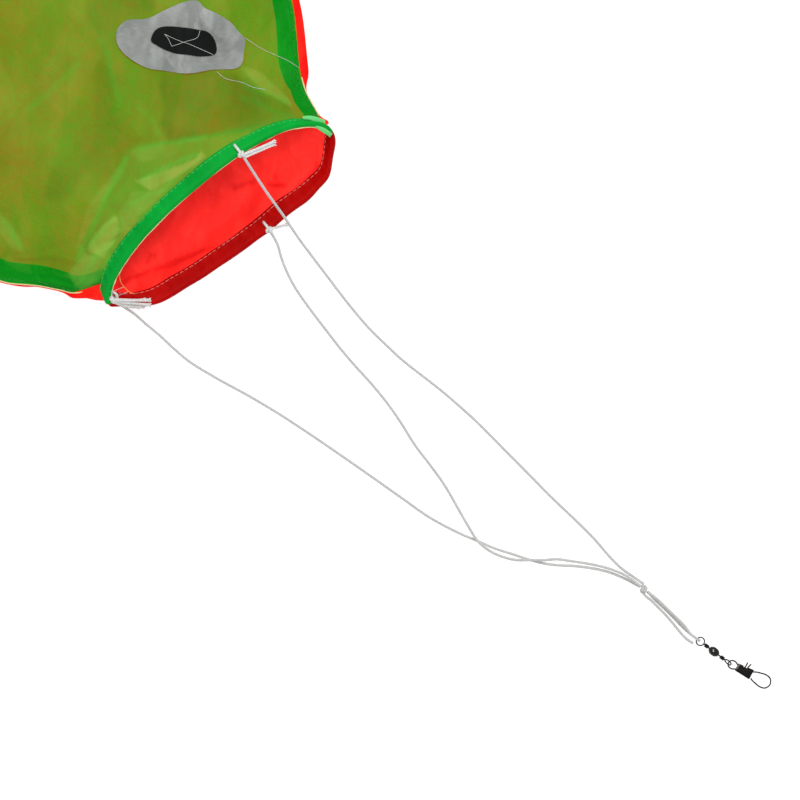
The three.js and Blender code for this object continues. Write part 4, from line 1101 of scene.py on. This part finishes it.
def stitch_tree(finish, step, length):
    """Geometry nodes that lay a thread stitch at even steps along drawn lines."""
    tree = bpy.data.node_groups.new("stitches_" + finish.name, "GeometryNodeTree")
    for name, way in (("Lines", "INPUT"), ("Stitches", "OUTPUT")):
        tree.interface.new_socket(name, in_out=way, socket_type="NodeSocketGeometry")
    drawn = add(tree, "NodeGroupInput").outputs["Lines"]
    result = add(tree, "NodeGroupOutput")
    lines = linked(tree, "GeometryNodeMeshToCurve", {"Mesh": drawn}).outputs["Curve"]
    places = linked(tree, "GeometryNodeCurveToPoints", {"Curve": lines, "Length": step * MM}, mode="LENGTH")
    bead = linked(tree, "GeometryNodeMeshUVSphere", {"Segments": 6, "Rings": 5, "Radius": 1.0})
    vary = linked(
        tree, "FunctionNodeRandomValue", {"Min": (0.85, 0.85, 0.8), "Max": (1.15, 1.15, 1.1), "Seed": 7},
        data_type="FLOAT_VECTOR",
    )
    size = (STITCH_THREAD * MM, STITCH_THREAD * MM, length * MM / 2)
    shaped = linked(tree, "ShaderNodeVectorMath", {0: size, 1: vary.outputs["Value"]}, operation="MULTIPLY")
    laid = linked(
        tree, "GeometryNodeInstanceOnPoints",
        {
            "Points": places.outputs["Points"],
            "Instance": bead.outputs["Mesh"],
            "Rotation": places.outputs["Rotation"],
            "Scale": shaped.outputs["Vector"],
        },
    )
    real = linked(tree, "GeometryNodeRealizeInstances", {"Geometry": laid.outputs["Instances"]})
    coloured = linked(tree, "GeometryNodeSetMaterial", {"Geometry": real.outputs["Geometry"], "Material": finish})
    tree.links.new(coloured.outputs["Geometry"], result.inputs["Stitches"])
    return tree


def stitched(name, lines, finish, step, length):
    """One piece of all the stitches along lines in millimetres."""
    points = [to_row(line) for line in lines]
    edges, start = [], 0
    for line in points:
        edges.extend((start + k, start + k + 1) for k in range(len(line) - 1))
        start += len(line)
    drawn = bpy.data.meshes.new(name + "_lines")
    drawn.from_pydata([tuple(p) for p in np.vstack(points)], edges, [])
    guide = bpy.data.objects.new(name + "_lines", drawn)
    bpy.context.scene.collection.objects.link(guide)
    guide.modifiers.new("stitches", "NODES").node_group = stitch_tree(finish, step, length)
    shown = guide.evaluated_get(bpy.context.evaluated_depsgraph_get())
    mesh = bpy.data.meshes.new_from_object(shown)
    mesh.name = name
    mesh.shade_smooth()
    bpy.data.objects.remove(guide)
    piece = bpy.data.objects.new(name, mesh)
    bpy.context.scene.collection.objects.link(piece)
    return piece


def make_stitches(green_grid, back_fin, belly_fin, tail, green, red, pale_green, pale_red):
    """The rows of stitches along the seams, the fins' and the tail's rays and the hems."""
    seams = [inward(green_grid, back, np.array([2.2]))[6:, 0] for back in (True, False)]
    back_rays = [back_fin[k, 1:-1] for k in range(8, 100, 12)] + [back_fin[2:-2, -2]]
    tail_rays = [tail[2, 1:-1]] + [tail[3:-2, k] for k in range(8, 80, 8)]
    belly_rays = [belly_fin[k, 1:-1] for k in range(8, 70, 10)] + [belly_fin[2:-2, -2]]
    over = np.array((0, 0, STITCH_LIFT))
    upper = np.linspace(0.06, math.pi - 0.14, 240)
    lower = np.linspace(math.pi + 0.14, 2 * math.pi - 0.06, 240)
    return [
        stitched(name, lines, finish, step, length)
        for name, lines, finish, step, length in (
            ("green_stitches", [line + over for line in seams + back_rays + tail_rays], green, 2.4, 1.8),
            ("red_stitches", [line + over for line in belly_rays], red, 2.4, 1.8),
            ("upper_hem_stitches", [hem_line(upper, -hem_depth(upper) + 0.7, -0.66)], pale_green, 2.2, 1.9),
            ("lower_hem_stitches", [hem_line(lower, -hem_depth(lower) + 0.7, 0.7)], pale_red, 2.2, 1.9),
        )
    ]


# Eyes and loose threads

def closed_outline(points, count):
    p = np.asarray(points, float)
    t = np.linspace(0, len(p), count, endpoint=False)
    i = t.astype(int)
    f = (t - i)[:, None]
    a, b, c, d = (np.roll(p, 1 - k, axis=0)[i] for k in range(4))
    return 0.5 * (2 * b + (c - a) * f + (2 * a - 5 * b + 4 * c - d) * f**2 + (3 * b - a - 3 * c + d) * f**3)


def surface_of(*pieces):
    points, faces = [], []
    for piece in pieces:
        start = len(points)
        points.extend(v.co.copy() for v in piece.data.vertices)
        faces.extend(tuple(start + k for k in f.vertices) for f in piece.data.polygons)
    return BVHTree.FromPolygons(points, faces)


def height_on(surface, x, y, from_above=True):
    """The height in millimetres of a surface over or under a plan point."""
    start = Vector((x * MM + MOUTH[0], y * MM + MOUTH[1], 0.3 if from_above else -0.3))
    hit = surface.ray_cast(start, Vector((0, 0, -1 if from_above else 1)))[0]
    return 0.0 if hit is None else hit.z / MM


def draped_patch(name, outline, surface, from_above, lift, wrinkle, seed, finish, soft):
    """A cut patch laid on a surface, on its upper or its under face."""
    count, rings = 96, 16
    rim = closed_outline(outline, count) + EYE_SHIFT
    rim = sum(np.roll(rim, k, axis=0) for k in range(-soft, soft + 1)) / (2 * soft + 1)
    middle = rim.mean(axis=0)
    plan = [middle] + [middle + (rim - middle) * (k / rings) for k in range(1, rings + 1)]
    plan = np.vstack([np.atleast_2d(p) for p in plan])
    x, y = plan[:, 0], plan[:, 1]
    base = np.array([height_on(surface, a, b, from_above) for a, b in plan])
    out = 1 if from_above else -1
    broad, small = facets(x, y, 9, seed), facets(x, y, 4, seed + 5)
    fold = wrinkle * (0.7 * broad[0] + 0.35 * small[0])
    z = np.maximum(0.08, base + out * (lift + np.maximum(fold, -0.6 * lift)))
    points = to_row(np.column_stack([x, y, z]))
    faces = [(0, 1 + k, 1 + (k + 1) % count) for k in range(count)]
    for r in range(rings - 1):
        for k in range(count):
            a, b = 1 + r * count + k, 1 + r * count + (k + 1) % count
            faces.append((a, a + count, b + count, b))
    turning = np.sum(rim[:, 0] * np.roll(rim[:, 1], -1) - np.roll(rim[:, 0], -1) * rim[:, 1])
    if (turning > 0) != from_above:
        faces = [f[::-1] for f in faces]
    piece = mesh_piece(name, points, faces, finish, uv=points[:, :2])
    # Painted light: each wrinkle facet of the patch gets its own lit tone.
    set_value(piece, "lit_facet", np.clip(0.3 + 0.4 * broad[1] + 0.25 * small[1], 0, 1))
    return piece


def laid_line(points, surface, lift, step):
    """A loose thread that follows a surface under it."""
    line = smooth_route([(x, y, 0) for x, y in points], step)
    height = np.array([height_on(surface, x, y) for x, y, _ in line])
    smooth = np.convolve(np.pad(height, 3, mode="edge"), np.ones(7) / 7, mode="valid")
    line[:, 2] = np.maximum(height, smooth) + lift
    return line


def make_threads(green_surface, pupil_surface, white, orange):
    """The loose thread ends at the eye, the lip and the left corner."""
    laid = (
        (((-60.7, 36.8), (-59.1, 34.3), (-60.7, 28.9), (-62.1, 24.2)), pupil_surface, 0.2, 0.5, 0.09),
        (((-67.4, 24.8), (-62.2, 27.8), (-58.4, 30.4), (-50.2, 35.1)), pupil_surface, 0.35, 0.5, 0.09),
        (((-62.1, 24.2), (-65.4, 24.9), (-67.4, 24.8)), pupil_surface, 0.28, 0.5, 0.09),
        (((-44.3, 32.3), (-40.5, 33.2), (-34.8, 37.6), (-30.6, 39.9), (-27.1, 43.3)), green_surface, 0.25, 0.8, 0.1),
        (((-48.6, 49.2), (-40.9, 52.2), (-34.7, 55.8), (-27.8, 59.0), (-22.5, 60.8)), green_surface, 0.3, 0.8, 0.1),
    )
    corner = (
        ((-3.0, -55.0, 14.0), (-1.2, -52.9, 15.0), (-0.3, -50.4, 15.6), (0.3, -48.1, 15.2)),
        ((-0.6, -56.2, 12.5), (0.9, -54.4, 13.6), (1.9, -51.2, 14.2), (2.6, -48.2, 13.6)),
    )
    arc = (
        (-5.6, -45.6, 13.4), (-4.3, -46.8, 14.6), (-1.6, -48.0, 15.4), (0.8, -48.0, 15.6), (3.2, -47.6, 15.0),
        (4.9, -46.5, 13.8),
    )
    lines = [(laid_line(points, surface, lift, step), thread, 6) for points, surface, lift, step, thread in laid]
    lines += [(smooth_route(points, 0.5), 0.1, 6) for points in corner]
    loose = tube_piece("loose_white_threads", lines, white)
    return [loose, tube_piece("loose_orange_thread", [(smooth_route(arc, 0.5), 0.16, 6)], orange)]


# Fins and tail

def fin_grid(start, end, height, rake, line, side, rows, columns, seed):
    u, v = np.meshgrid(np.linspace(0, 1, rows + 1), np.linspace(0, 1, columns + 1), indexing="ij")
    station = between(start, end, u)
    seam_x = -HEM_DEPTH - GAP - station
    tall = FIN_END_HEIGHT + height * np.sin(math.pi * u**0.8)
    ripple = FIN_RIPPLE * (1 + np.sin(5 * math.pi * u)) * v
    x = seam_x - rake * v
    y = side * (line(station) + GAP + tall * v)
    z = between(SEAM_HEIGHT - GAP / 2, CLOTH, ease(v)) + ripple
    z += 0.35 * (1 + soft_noise(x, y, 12, seed)) * ease(3 * v)
    return np.stack([x, y, np.maximum(z, 0.25)], -1)


def tail_grid(upper, rows, columns, seed):
    turn = np.linspace(0, math.pi, columns + 1) + (0 if upper else math.pi)
    u, a = np.meshgrid(np.linspace(0, 1, rows + 1), turn, indexing="ij")
    root = body_point(upper, np.full(a.shape, float(BODY_LENGTH)), a)
    reach = TAIL_LENGTH - TAIL_FORK * (1 - np.abs(np.cos(a)) ** 1.5)
    x = root[..., 0] - GAP - reach * u
    y = between(TAIL_ROOT_HALF, TAIL_TIP_HALF, u**1.4) * np.cos(a)
    end = SEAM_HEIGHT + GAP / 2 + CLOTH + TAIL_END_LOFT * np.sin(a) if upper else root[..., 2]
    z = between(root[..., 2], end, ease(u))
    loose = ease(u * 8) * ease(np.abs(np.sin(a)) / 0.2)
    wave = 0.7 * soft_noise(x, y, 28, seed) + 0.35 * soft_noise(x, y, 10, seed + 1)
    z += loose * (wave if upper else 0.4 + 0.4 * wave)
    return np.stack([x, y, np.maximum(z, 0.2)], -1)


# Cords

def cord_points(line, closed=False, flare=0.0):
    """Three laid strands of a twisted cord along a line."""
    _, across, upward = frames_along(line, closed)
    along = length_along(line)
    total = along[-1] + (np.linalg.norm(line[0] - line[-1]) if closed else 0)
    turns = max(1, round(total / CORD_PITCH)) if closed else total / CORD_PITCH
    out = STRAND_OUT * CORD / 2 * np.ones(len(line))
    if flare:
        out *= 1 + flare * np.clip((along - along[-1] + FLARE_LENGTH) / FLARE_LENGTH, 0, 1) ** 2
    parts = []
    for k in range(3):
        turn = 2 * math.pi * (turns * along / total + k / 3)
        middle = line + out[:, None] * (np.cos(turn)[:, None] * across + np.sin(turn)[:, None] * upward)
        parts.append(tube_points(middle, STRAND * CORD / 2, 8, closed))
    return gathered(parts)


def knot_points(middle, axis, scale):
    """A small overhand knot pulled tight, with its axis in the given direction."""
    t = np.linspace(0, 2 * math.pi, 72, endpoint=False)
    trefoil = np.column_stack([np.sin(t) + 2 * np.sin(2 * t), np.cos(t) - 2 * np.cos(2 * t), -1.15 * np.sin(3 * t)])
    turn = np.array(Vector((0, 0, 1)).rotation_difference(Vector(axis)).to_matrix())
    return cord_points(np.asarray(middle) + scale * trefoil @ turn.T, closed=True)


def tie_points(middle, along, over, bead, axis, tails):
    turn = np.linspace(0, 2 * math.pi, 44, endpoint=False)[:, None]
    loop = np.asarray(middle) + np.cos(turn) * np.asarray(along) + np.sin(turn) * np.asarray(over)
    parts = [cord_points(loop, closed=True), knot_points(bead, axis, 0.4)]
    parts += [cord_points(smooth_route(tail, 0.4), flare=1.6) for tail in tails]
    return gathered(parts)


def cord_piece(name, line, finish):
    points, faces = cord_points(line)
    return mesh_piece(name, to_row(points), faces, finish)


def knot_side(x, y, z):
    way = np.array((x, y, z), float)
    return np.array(KNOT) + way / np.linalg.norm(way) * 2.1


def leg_route(bead, points, end):
    points = np.asarray(points, float)
    out = points[0] - bead
    start = bead + out / np.linalg.norm(out) * 1.8
    return smooth_route(np.vstack([start, points, end]), 0.5)


def loop_route():
    ring = np.array((251.1, 48.8, 1.8))
    axis = np.array((math.cos(math.radians(15.8)), math.sin(math.radians(15.8)), 0))
    near = ring - 1.65 * axis
    upward = np.array((0, 0, 1))
    bend = [near + 1.05 * (math.cos(t) * axis + math.sin(t) * upward) for t in np.radians((90, 45, 0, -45, -90))]
    out = ((227.4, 45.3, 2.3), (233.8, 46.3, 2.0), (238.0, 47.0, 2.0), (242.2, 47.5, 2.3))
    back = ((242.2, 46.6, 0.7), (238.0, 46.1, 0.7), (233.8, 45.6, 0.7), (227.4, 44.6, 0.85))
    route = [knot_side(0.9, 0.3, 0.42), *out, bend[0] - 3 * axis, *bend, bend[4] - 3 * axis, *back]
    return smooth_route(np.array([*route, knot_side(0.84, 0.24, -0.5)]), 0.4)


def make_bridle(finish, tie_finish):
    """The ties, the knot, and every cord with its route and the place where it starts."""
    x_axis, y_axis, z_axis = np.eye(3)
    front, hole = HEM_HALF + GAP + CORD / 2, 2.9
    made = {}

    def add_cord(name, piece_name, route, start):
        made[name] = (cord_piece(piece_name, route, finish), route, start)

    def add_leg(name, tie, bead, points, end):
        made[name + "_tie"] = mesh_piece(name + "_tie_cord", to_row(tie[0]), tie[1], tie_finish)
        add_cord(name, name + "_leg_cord", leg_route(bead, points, end), bead)

    for name, degrees, off_lip, points, end in (
        ("upper", 67.8, x_axis * 1.7 + z_axis * 1.9, UPPER_LEG, knot_side(-0.83, 0.55, -0.05)),
        ("lower", 282, x_axis * 1.2 + z_axis * 2.3, LOWER_LEG, knot_side(-0.82, -0.2, 0.54)),
    ):
        lip = hoop_line(math.radians(degrees))
        bead = lip + off_lip
        middle, reach = lip + x_axis * (front - hole) / 2, x_axis * (front + hole) / 2
        add_leg(name, tie_points(middle, reach, z_axis * front, bead, x_axis, TIE_TAILS[name]), bead, points, end)
    lip = lip_point(math.pi)
    bead = lip + np.array((1.5, -0.8, 2.6))
    tie = tie_points(lip + x_axis * 0.4, x_axis * 1.75, y_axis * 1.5, bead, y_axis, TIE_TAILS["corner"])
    add_leg("corner", tie, bead, CORNER_LEG, knot_side(-0.84, -0.36, -0.46))
    knot = gathered([knot_points(KNOT, (1, 0.2, 0.1), 0.5), knot_points(KNOT, (0.3, 1, 0.3), 0.46)])
    made["knot"] = mesh_piece("bridle_knot_cord", to_row(knot[0]), knot[1], finish)
    add_cord("loop", "swivel_loop_cord", loop_route(), knot_side(0.9, 0.3, 0.42))
    within = np.array(KNOT) + (-1.6, 0.3, 0)
    loose_end = smooth_route(np.vstack([within, knot_side(0.84, -0.55, -0.05), LOOP_TAIL]), 0.5)
    add_cord("tail", "loose_end_cord", loose_end, within)
    return made


# The swivel and the snap, each in its own frame

def in_frame(points, place):
    points = np.asarray(points, float) * MM
    turn = np.array(place)
    return points @ turn[:3, :3].T + turn[:3, 3]


def ring_points(radius, wire, upright):
    t = np.linspace(0, 2 * math.pi, 64, endpoint=False)
    flat = np.column_stack([radius * np.cos(t), radius * np.sin(t), 0 * t])
    return tube_points(flat[:, [0, 2, 1]] if upright else flat, wire / 2, 14, closed=True)


def turned(profile_points, sides=48):
    """A closed outline of radius and length turned about the X axis."""
    outline = np.asarray(profile_points, float)
    t = np.linspace(0, 2 * math.pi, sides, endpoint=False)
    points = np.stack(
        [
            np.repeat(outline[:, 1][:, None], sides, 1),
            outline[:, 0][:, None] * np.cos(t),
            outline[:, 0][:, None] * np.sin(t),
        ],
        -1,
    ).reshape(-1, 3)
    count = len(outline)
    faces = []
    for i in range(count):
        for j in range(sides):
            k, n = (j + 1) % sides, (i + 1) % count
            faces.append((i * sides + j, n * sides + j, n * sides + k, i * sides + k))
    return points, faces


def eye_points(ring, neck, upright):
    """A wire eye: its ring, the stem into the barrel with its head, and the tail wrapped round the stem."""
    wrap_start = ring / 2 + 0.1
    t = np.linspace(0, 1, 120)
    spin = 2 * math.pi * WRAP_TURNS * t
    along = wrap_start + WRAP_WIRE / 2 + 1.66 * t
    wrap = np.column_stack([along, WRAP_RADIUS * np.cos(spin), WRAP_RADIUS * np.sin(spin)])
    head = wrap_start + 2.2 + neck + 0.45 + 0.1
    middle = (ring - EYE_WIRE) / 2
    stem = np.column_stack([np.linspace(middle, head + 0.3, 12), np.zeros(12), np.zeros(12)])
    cap = ((0.01, 0), (0.55, 0), (0.6, 0.1), (0.6, 0.5), (0.5, 0.6), (0.01, 0.6))
    return gathered([
        ring_points(middle, EYE_WIRE, upright),
        tube_points(stem, STEM / 2, 14),
        tube_points(wrap, rounded_ends(wrap, WRAP_WIRE / 2, 0.5), 12),
        turned([(radius, head + deep) for radius, deep in cap], 24),
    ])


def make_swivel(finish, polished):
    points, faces = eye_points(FRONT_RING, 0.45, False)
    front_eye = mesh_piece("front_eye_wire", in_frame(points, SWIVEL), faces, finish)
    mirrored = [(r, -x) for r, x in (*BARREL_SIDE[-2::-1], *BARREL_HOLLOW[::-1])]
    outline = [*BARREL_SIDE, *mirrored, *BARREL_HOLLOW[1:]]
    points, faces = turned([(r, x + BARREL_AT) for r, x in outline])
    barrel = mesh_piece("barrel_shell", in_frame(points, SWIVEL), faces, polished)
    points, faces = eye_points(REAR_RING, 0.9, True)
    turn = np.array(Matrix.Rotation(math.radians(REAR_RING_TURN), 3, "X"))
    points = points * np.array((-1, -1, 1)) @ turn + np.array((REAR_RING_AT, 0, 0))
    rear_eye = mesh_piece("rear_eye_wire", in_frame(points, SWIVEL), faces, finish)
    return front_eye, barrel, rear_eye


def spread(x):
    return 1 + (PLATE_END_HALF / PLATE_HALF - 1) * (x - PLATE_START) / (PLATE_END - PLATE_START)


def wire_leg(x):
    return (PLATE_HALF - PLATE_FACE) * spread(x)


def snap_plate(finish):
    """The snap's plate, folded along one edge and notched along the other."""
    fold = PLATE_FACE - PLATE_HALF
    arc = np.linspace(math.pi / 2, 3 * math.pi / 2, 11)

    def bent(radius, turns):
        return [(fold + radius * math.cos(t), radius * math.sin(t)) for t in turns]

    outer = [(PLATE_HALF, PLATE_FACE), *bent(PLATE_FACE, arc), (PLATE_HALF, -PLATE_FACE)]
    inner = [(PLATE_HALF, -PLATE_INSIDE), *bent(PLATE_INSIDE, arc[::-1]), (PLATE_HALF, PLATE_INSIDE)]
    section = np.array(outer + inner)
    lead = np.linspace(PLATE_START + 0.06, NOTCH_START - 0.02, 4)
    tail = np.linspace(NOTCH_END + 0.02, PLATE_END - 0.06, 4)
    cut_from, cut_to = NOTCH_START + 0.02, NOTCH_END - 0.02
    stations = [PLATE_START, *lead, cut_from, (cut_from + cut_to) / 2, cut_to, *tail, PLATE_END]
    rows = []
    for x in stations:
        cut = NOTCH_DEPTH if NOTCH_START < x < NOTCH_END else 0.0
        y = np.where(section[:, 0] > 1.5, section[:, 0] * spread(x) - cut, section[:, 0] * spread(x))
        trim = 0.04 if x in (PLATE_START, PLATE_END) else 0.0
        z = section[:, 1] * (1 - trim * np.sign(np.abs(section[:, 1]) - 0.5))
        rows.append(np.column_stack([np.full(len(y), x), y, z]))
    count = len(section)
    last = (len(stations) - 1) * count
    faces = grid_faces(len(stations), count, closed=True, flip=True)
    for a in range(count // 2 - 1):
        b, c, d = count - 1 - a, a + 1, count - 2 - a
        faces += [(a, c, d, b), (last + b, last + d, last + c, last + a)]
    plate = mesh_piece("snap_plate_folded", in_frame(np.vstack(rows), SNAP), faces, finish)
    plate.data.set_sharp_from_angle(angle=math.radians(40))
    return plate


def snap_wire(name, route, finish):
    line = smooth_route([(x, y, 0) for x, y in route], 0.22)
    points, faces = tube_points(line, rounded_ends(line, SNAP_WIRE / 2, 0.6), 14)
    return mesh_piece(name, in_frame(points, SNAP), faces, finish)


def make_snap(finish):
    """The snap's plate, its near wire and its sprung far loop."""
    prong = NOTCH_START + 0.9
    foot = wire_leg(prong)
    bow = [(PLATE_START * 0.58, 1.62), (PLATE_START * 0.17, 1.3)]
    near = [
        (prong + 0.05, foot + WIRE_BEND + PRONG),
        (prong, foot + WIRE_BEND),
        (prong - WIRE_BEND * 0.3, foot + WIRE_BEND * 0.3),
        (prong - WIRE_BEND, wire_leg(prong - WIRE_BEND)),
        (PLATE_START, wire_leg(PLATE_START)),
        *bow,
        (0, 0),
        *[(x, -y) for x, y in bow[::-1]],
        *[(x, -wire_leg(x)) for x in (PLATE_START, 7.1, PLATE_END + 0.1)],
    ]
    prong = NOTCH_START + 1.95
    foot = wire_leg(prong)
    begin, wide = PLATE_END + 0.4, PLATE_END + LOOP_LENGTH * 0.62
    tip = PLATE_END + LOOP_LENGTH - SNAP_WIRE / 2
    side = [(begin + 0.9, 1.85), (begin + 2.6, 2.3), (wide, LOOP_HALF), (tip - LOOP_HALF * 0.36, LOOP_HALF * 0.76)]
    far = [
        (begin, -wire_leg(begin)),
        *[(x, -y) for x, y in side],
        (tip, 0),
        *side[::-1],
        *[(x, wire_leg(x)) for x in (PLATE_END, prong + WIRE_BEND)],
        (prong + WIRE_BEND * 0.3, foot + WIRE_BEND * 0.3),
        (prong, foot + WIRE_BEND),
        (prong + 0.55, foot + WIRE_BEND + PRONG),
    ]
    return snap_plate(finish), snap_wire("snap_near_wire", near, finish), snap_wire("snap_far_loop", far, finish)


# Putting it together

def finished(piece, body, slot, *nodes):
    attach(piece, body)
    if nodes:
        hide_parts(*nodes)


def tell_cords(cords):
    """Each cord attached to the sock in place of its part, listed with the tie or knot that it starts at."""
    for name, node, far, tie in (
        ("corner", "corner_bridle_leg", "knot", (cords["corner_tie"],)),
        ("lower", "lower_bridle_leg", "knot", (cords["lower_tie"],)),
        ("upper", "upper_bridle_leg", "knot", (cords["upper_tie"],)),
        ("loop", "bridle_loop", "knot", (cords["knot"],)),
        ("tail", "bridle_loose_end", "bare", ()),
    ):
        piece, route, start = cords[name]
        finished(piece, "sock", "white_cord", node)


def build():
    make_camera()
    make_studio()
    green = thin_nylon_finish(
        "green_nylon_side", (0.002, 0.31, 0.007), (0.007, 0.4, 0.012), 0.45, 0.0016, 0.011,
        pale=(0.5, 0.74, 0.14), most_seen_through=0.35, painted_glow=0.0,
    )
    # The red side gets a painted glow that lightens its shade inside the mouth.
    red = thin_nylon_finish(
        "red_nylon_side", (0.46, 0.001, 0.0006), (0.6, 0.002, 0.001), 0.45, 0.0026, 0.012,
        pale=(0.96, 0.026, 0.017), most_seen_through=0.02, painted_glow=0.64,
    )
    green_double = nylon_finish(
        "green_nylon_doubled", (0.0012, 0.28, 0.026), (0.003, 0.4, 0.042), 0.48, 0.0011, 0.007
    )
    red_double = nylon_finish(
        "red_nylon_doubled", (0.34, 0.0008, 0.0005), (0.52, 0.002, 0.001), 0.48, 0.0011, 0.007
    )
    # The turned-in allowances are a much darker green: doubled cloth, and painted shade under the side that lies over
    # them.
    green_turned_shaded = nylon_finish(
        "green_nylon_turned_in_shaded", (0.001, 0.05, 0.014), (0.002, 0.1, 0.024), 0.5, 0.0009, 0.008
    )
    pale_green = nylon_finish(
        "green_nylon_raw_end", (0.1, 0.55, 0.14), (0.22, 0.75, 0.28), 0.5, 0.0006, 0.006, sheen=0.2
    )
    white = nylon_finish(
        "white_nylon_patch", (0.185, 0.197, 0.185), (0.265, 0.278, 0.265), 0.45, 0.0022, 0.008, pale=(0.5, 0.52, 0.5)
    )
    black = nylon_finish("black_nylon_patch", (0.005, 0.006, 0.006), (0.011, 0.012, 0.012), 0.6, 0.0007, 0.007)
    cream = thread_finish("cream_raw_edge", (0.6, 0.5, 0.2), (0.9, 0.8, 0.42))
    green_thread = thread_finish("green_thread", (0.002, 0.14, 0.02), (0.006, 0.26, 0.04))
    pale_green_thread = thread_finish("pale_green_thread", (0.03, 0.42, 0.08), (0.14, 0.58, 0.2))
    red_thread = thread_finish("red_thread", (0.3, 0.002, 0.002), (0.5, 0.01, 0.01))
    pale_red_thread = thread_finish("pale_red_thread", (0.85, 0.12, 0.1), (0.95, 0.3, 0.25))
    white_thread = thread_finish("white_thread", (0.4, 0.42, 0.38), (0.6, 0.62, 0.57))
    orange_thread = thread_finish("orange_thread", (0.7, 0.2, 0.02), (0.9, 0.34, 0.05))
    cord = thread_finish("white_cord_strands", (0.44, 0.44, 0.435), (0.62, 0.62, 0.61))
    tie_cord = thread_finish("white_cord_ties", (0.56, 0.56, 0.55), (0.82, 0.82, 0.8))
    spring = metal_finish("spring_wire_steel", (0.35, 0.35, 0.34), (0.5, 0.5, 0.49), 0.32)
    nickel = metal_finish("black_nickel_metal", (0.014, 0.013, 0.013), (0.04, 0.038, 0.036), 0.2)
    polished = metal_finish("black_nickel_barrel", (0.045, 0.044, 0.043), (0.08, 0.078, 0.076), 0.13)
    hoop, ferrule = make_hoop(spring)
    green_side, green_grid = make_green_side(green)
    allowances = [
        make_allowance("green_back_allowance", green_grid, True, green_turned_shaded, 0.7),
        make_allowance("green_belly_allowance", green_grid, False, green_turned_shaded, 0.7),
    ]
    red_side = make_red_side(red, surface_of(green_side, *allowances))
    upper_hem, lower_hem, raw_lip = make_hems(green_double, red_double, cream)
    green_surface = surface_of(green_side, upper_hem)
    raw_seams = make_raw_seams(green_grid, cream)

    eye = draped_patch("eye_white", EYE_OUTLINE, green_surface, True, 0.6, 0.8, 81, white, 1)
    pupil = draped_patch("eye_pupil", PUPIL_OUTLINE, surface_of(eye), True, 0.35, 0.25, 83, black, 2)
    under_eye = draped_patch("under_eye_white", EYE_OUTLINE, surface_of(red_side), False, 0.3, 0.1, 85, white, 1)
    under_pupil = draped_patch("under_eye_pupil", PUPIL_OUTLINE, surface_of(under_eye), False, 0.12, 0.04, 87, black, 2)

    back_grid = fin_grid(*BACK_FIN, back_line, 1, 100, 26, 91)
    belly_grid = fin_grid(*BELLY_FIN, belly_line, -1, 70, 24, 92)
    tail_top_grid = tail_grid(True, 60, 80, 93)
    back_fin = cloth_sheet("back_fin_cloth", back_grid, green_double)
    belly_fin = cloth_sheet("belly_fin_cloth", belly_grid, red_double, flip=True)
    tail_top = cloth_sheet("tail_upper_cloth", tail_top_grid, green_double, flip=True)
    tail_low = cloth_sheet("tail_under_cloth", tail_grid(False, 60, 80, 95), red_double)

    flaps = make_flaps(pale_green)
    stitches = make_stitches(
        green_grid, back_grid, belly_grid, tail_top_grid, green_thread, red_thread, pale_green_thread, pale_red_thread
    )
    threads = make_threads(green_surface, surface_of(pupil), white_thread, orange_thread)
    cords = make_bridle(cord, tie_cord)
    metal = make_swivel(nickel, polished) + make_snap(nickel)

    trims = (raw_lip, raw_seams, *allowances, *flaps)
    for piece, slot, *nodes in (
        (green_side, "green_nylon", "green_side_panel"),
        (red_side, "red_nylon", "red_side_panel"),
        (upper_hem, "green_nylon", "upper_lip_hem"),
        (lower_hem, "red_nylon", "lower_lip_hem"),
        (hoop, "spring_wire", "mouth_hoop"),
        (ferrule, "spring_wire", "hoop_ferrule"),
        *[(trim, "green_nylon") for trim in trims],
        (eye, "white_nylon", "eye_white_upper"),
        (pupil, "black_nylon", "eye_pupil_upper"),
        (under_eye, "white_nylon", "eye_white_under"),
        (under_pupil, "black_nylon", "eye_pupil_under"),
        (back_fin, "green_nylon", "back_fin"),
        (belly_fin, "red_nylon", "belly_fin"),
        (tail_top, "green_nylon", "tail_upper"),
        (tail_low, "red_nylon", "tail_under"),
        *zip(stitches, ("green_nylon", "red_nylon", "green_nylon", "red_nylon")),
        *[(thread, "white_cord") for thread in threads],
        *[(cords[name], "white_cord", name) for name in ("corner_tie", "lower_tie", "upper_tie")],
        (cords["knot"], "white_cord", "bridle_knot"),
    ):
        finished(piece, "sock", slot, *nodes)
    tell_cords(cords)

    for piece, body, node in zip(
        metal,
        ("front_eye", "barrel", "rear_eye", "snap", "snap", "gate"),
        ("swivel_front_eye", "swivel_barrel", "swivel_rear_eye", "snap_plate", "snap_wire", "snap_gate"),
    ):
        finished(piece, body, "black_nickel", node)


build()
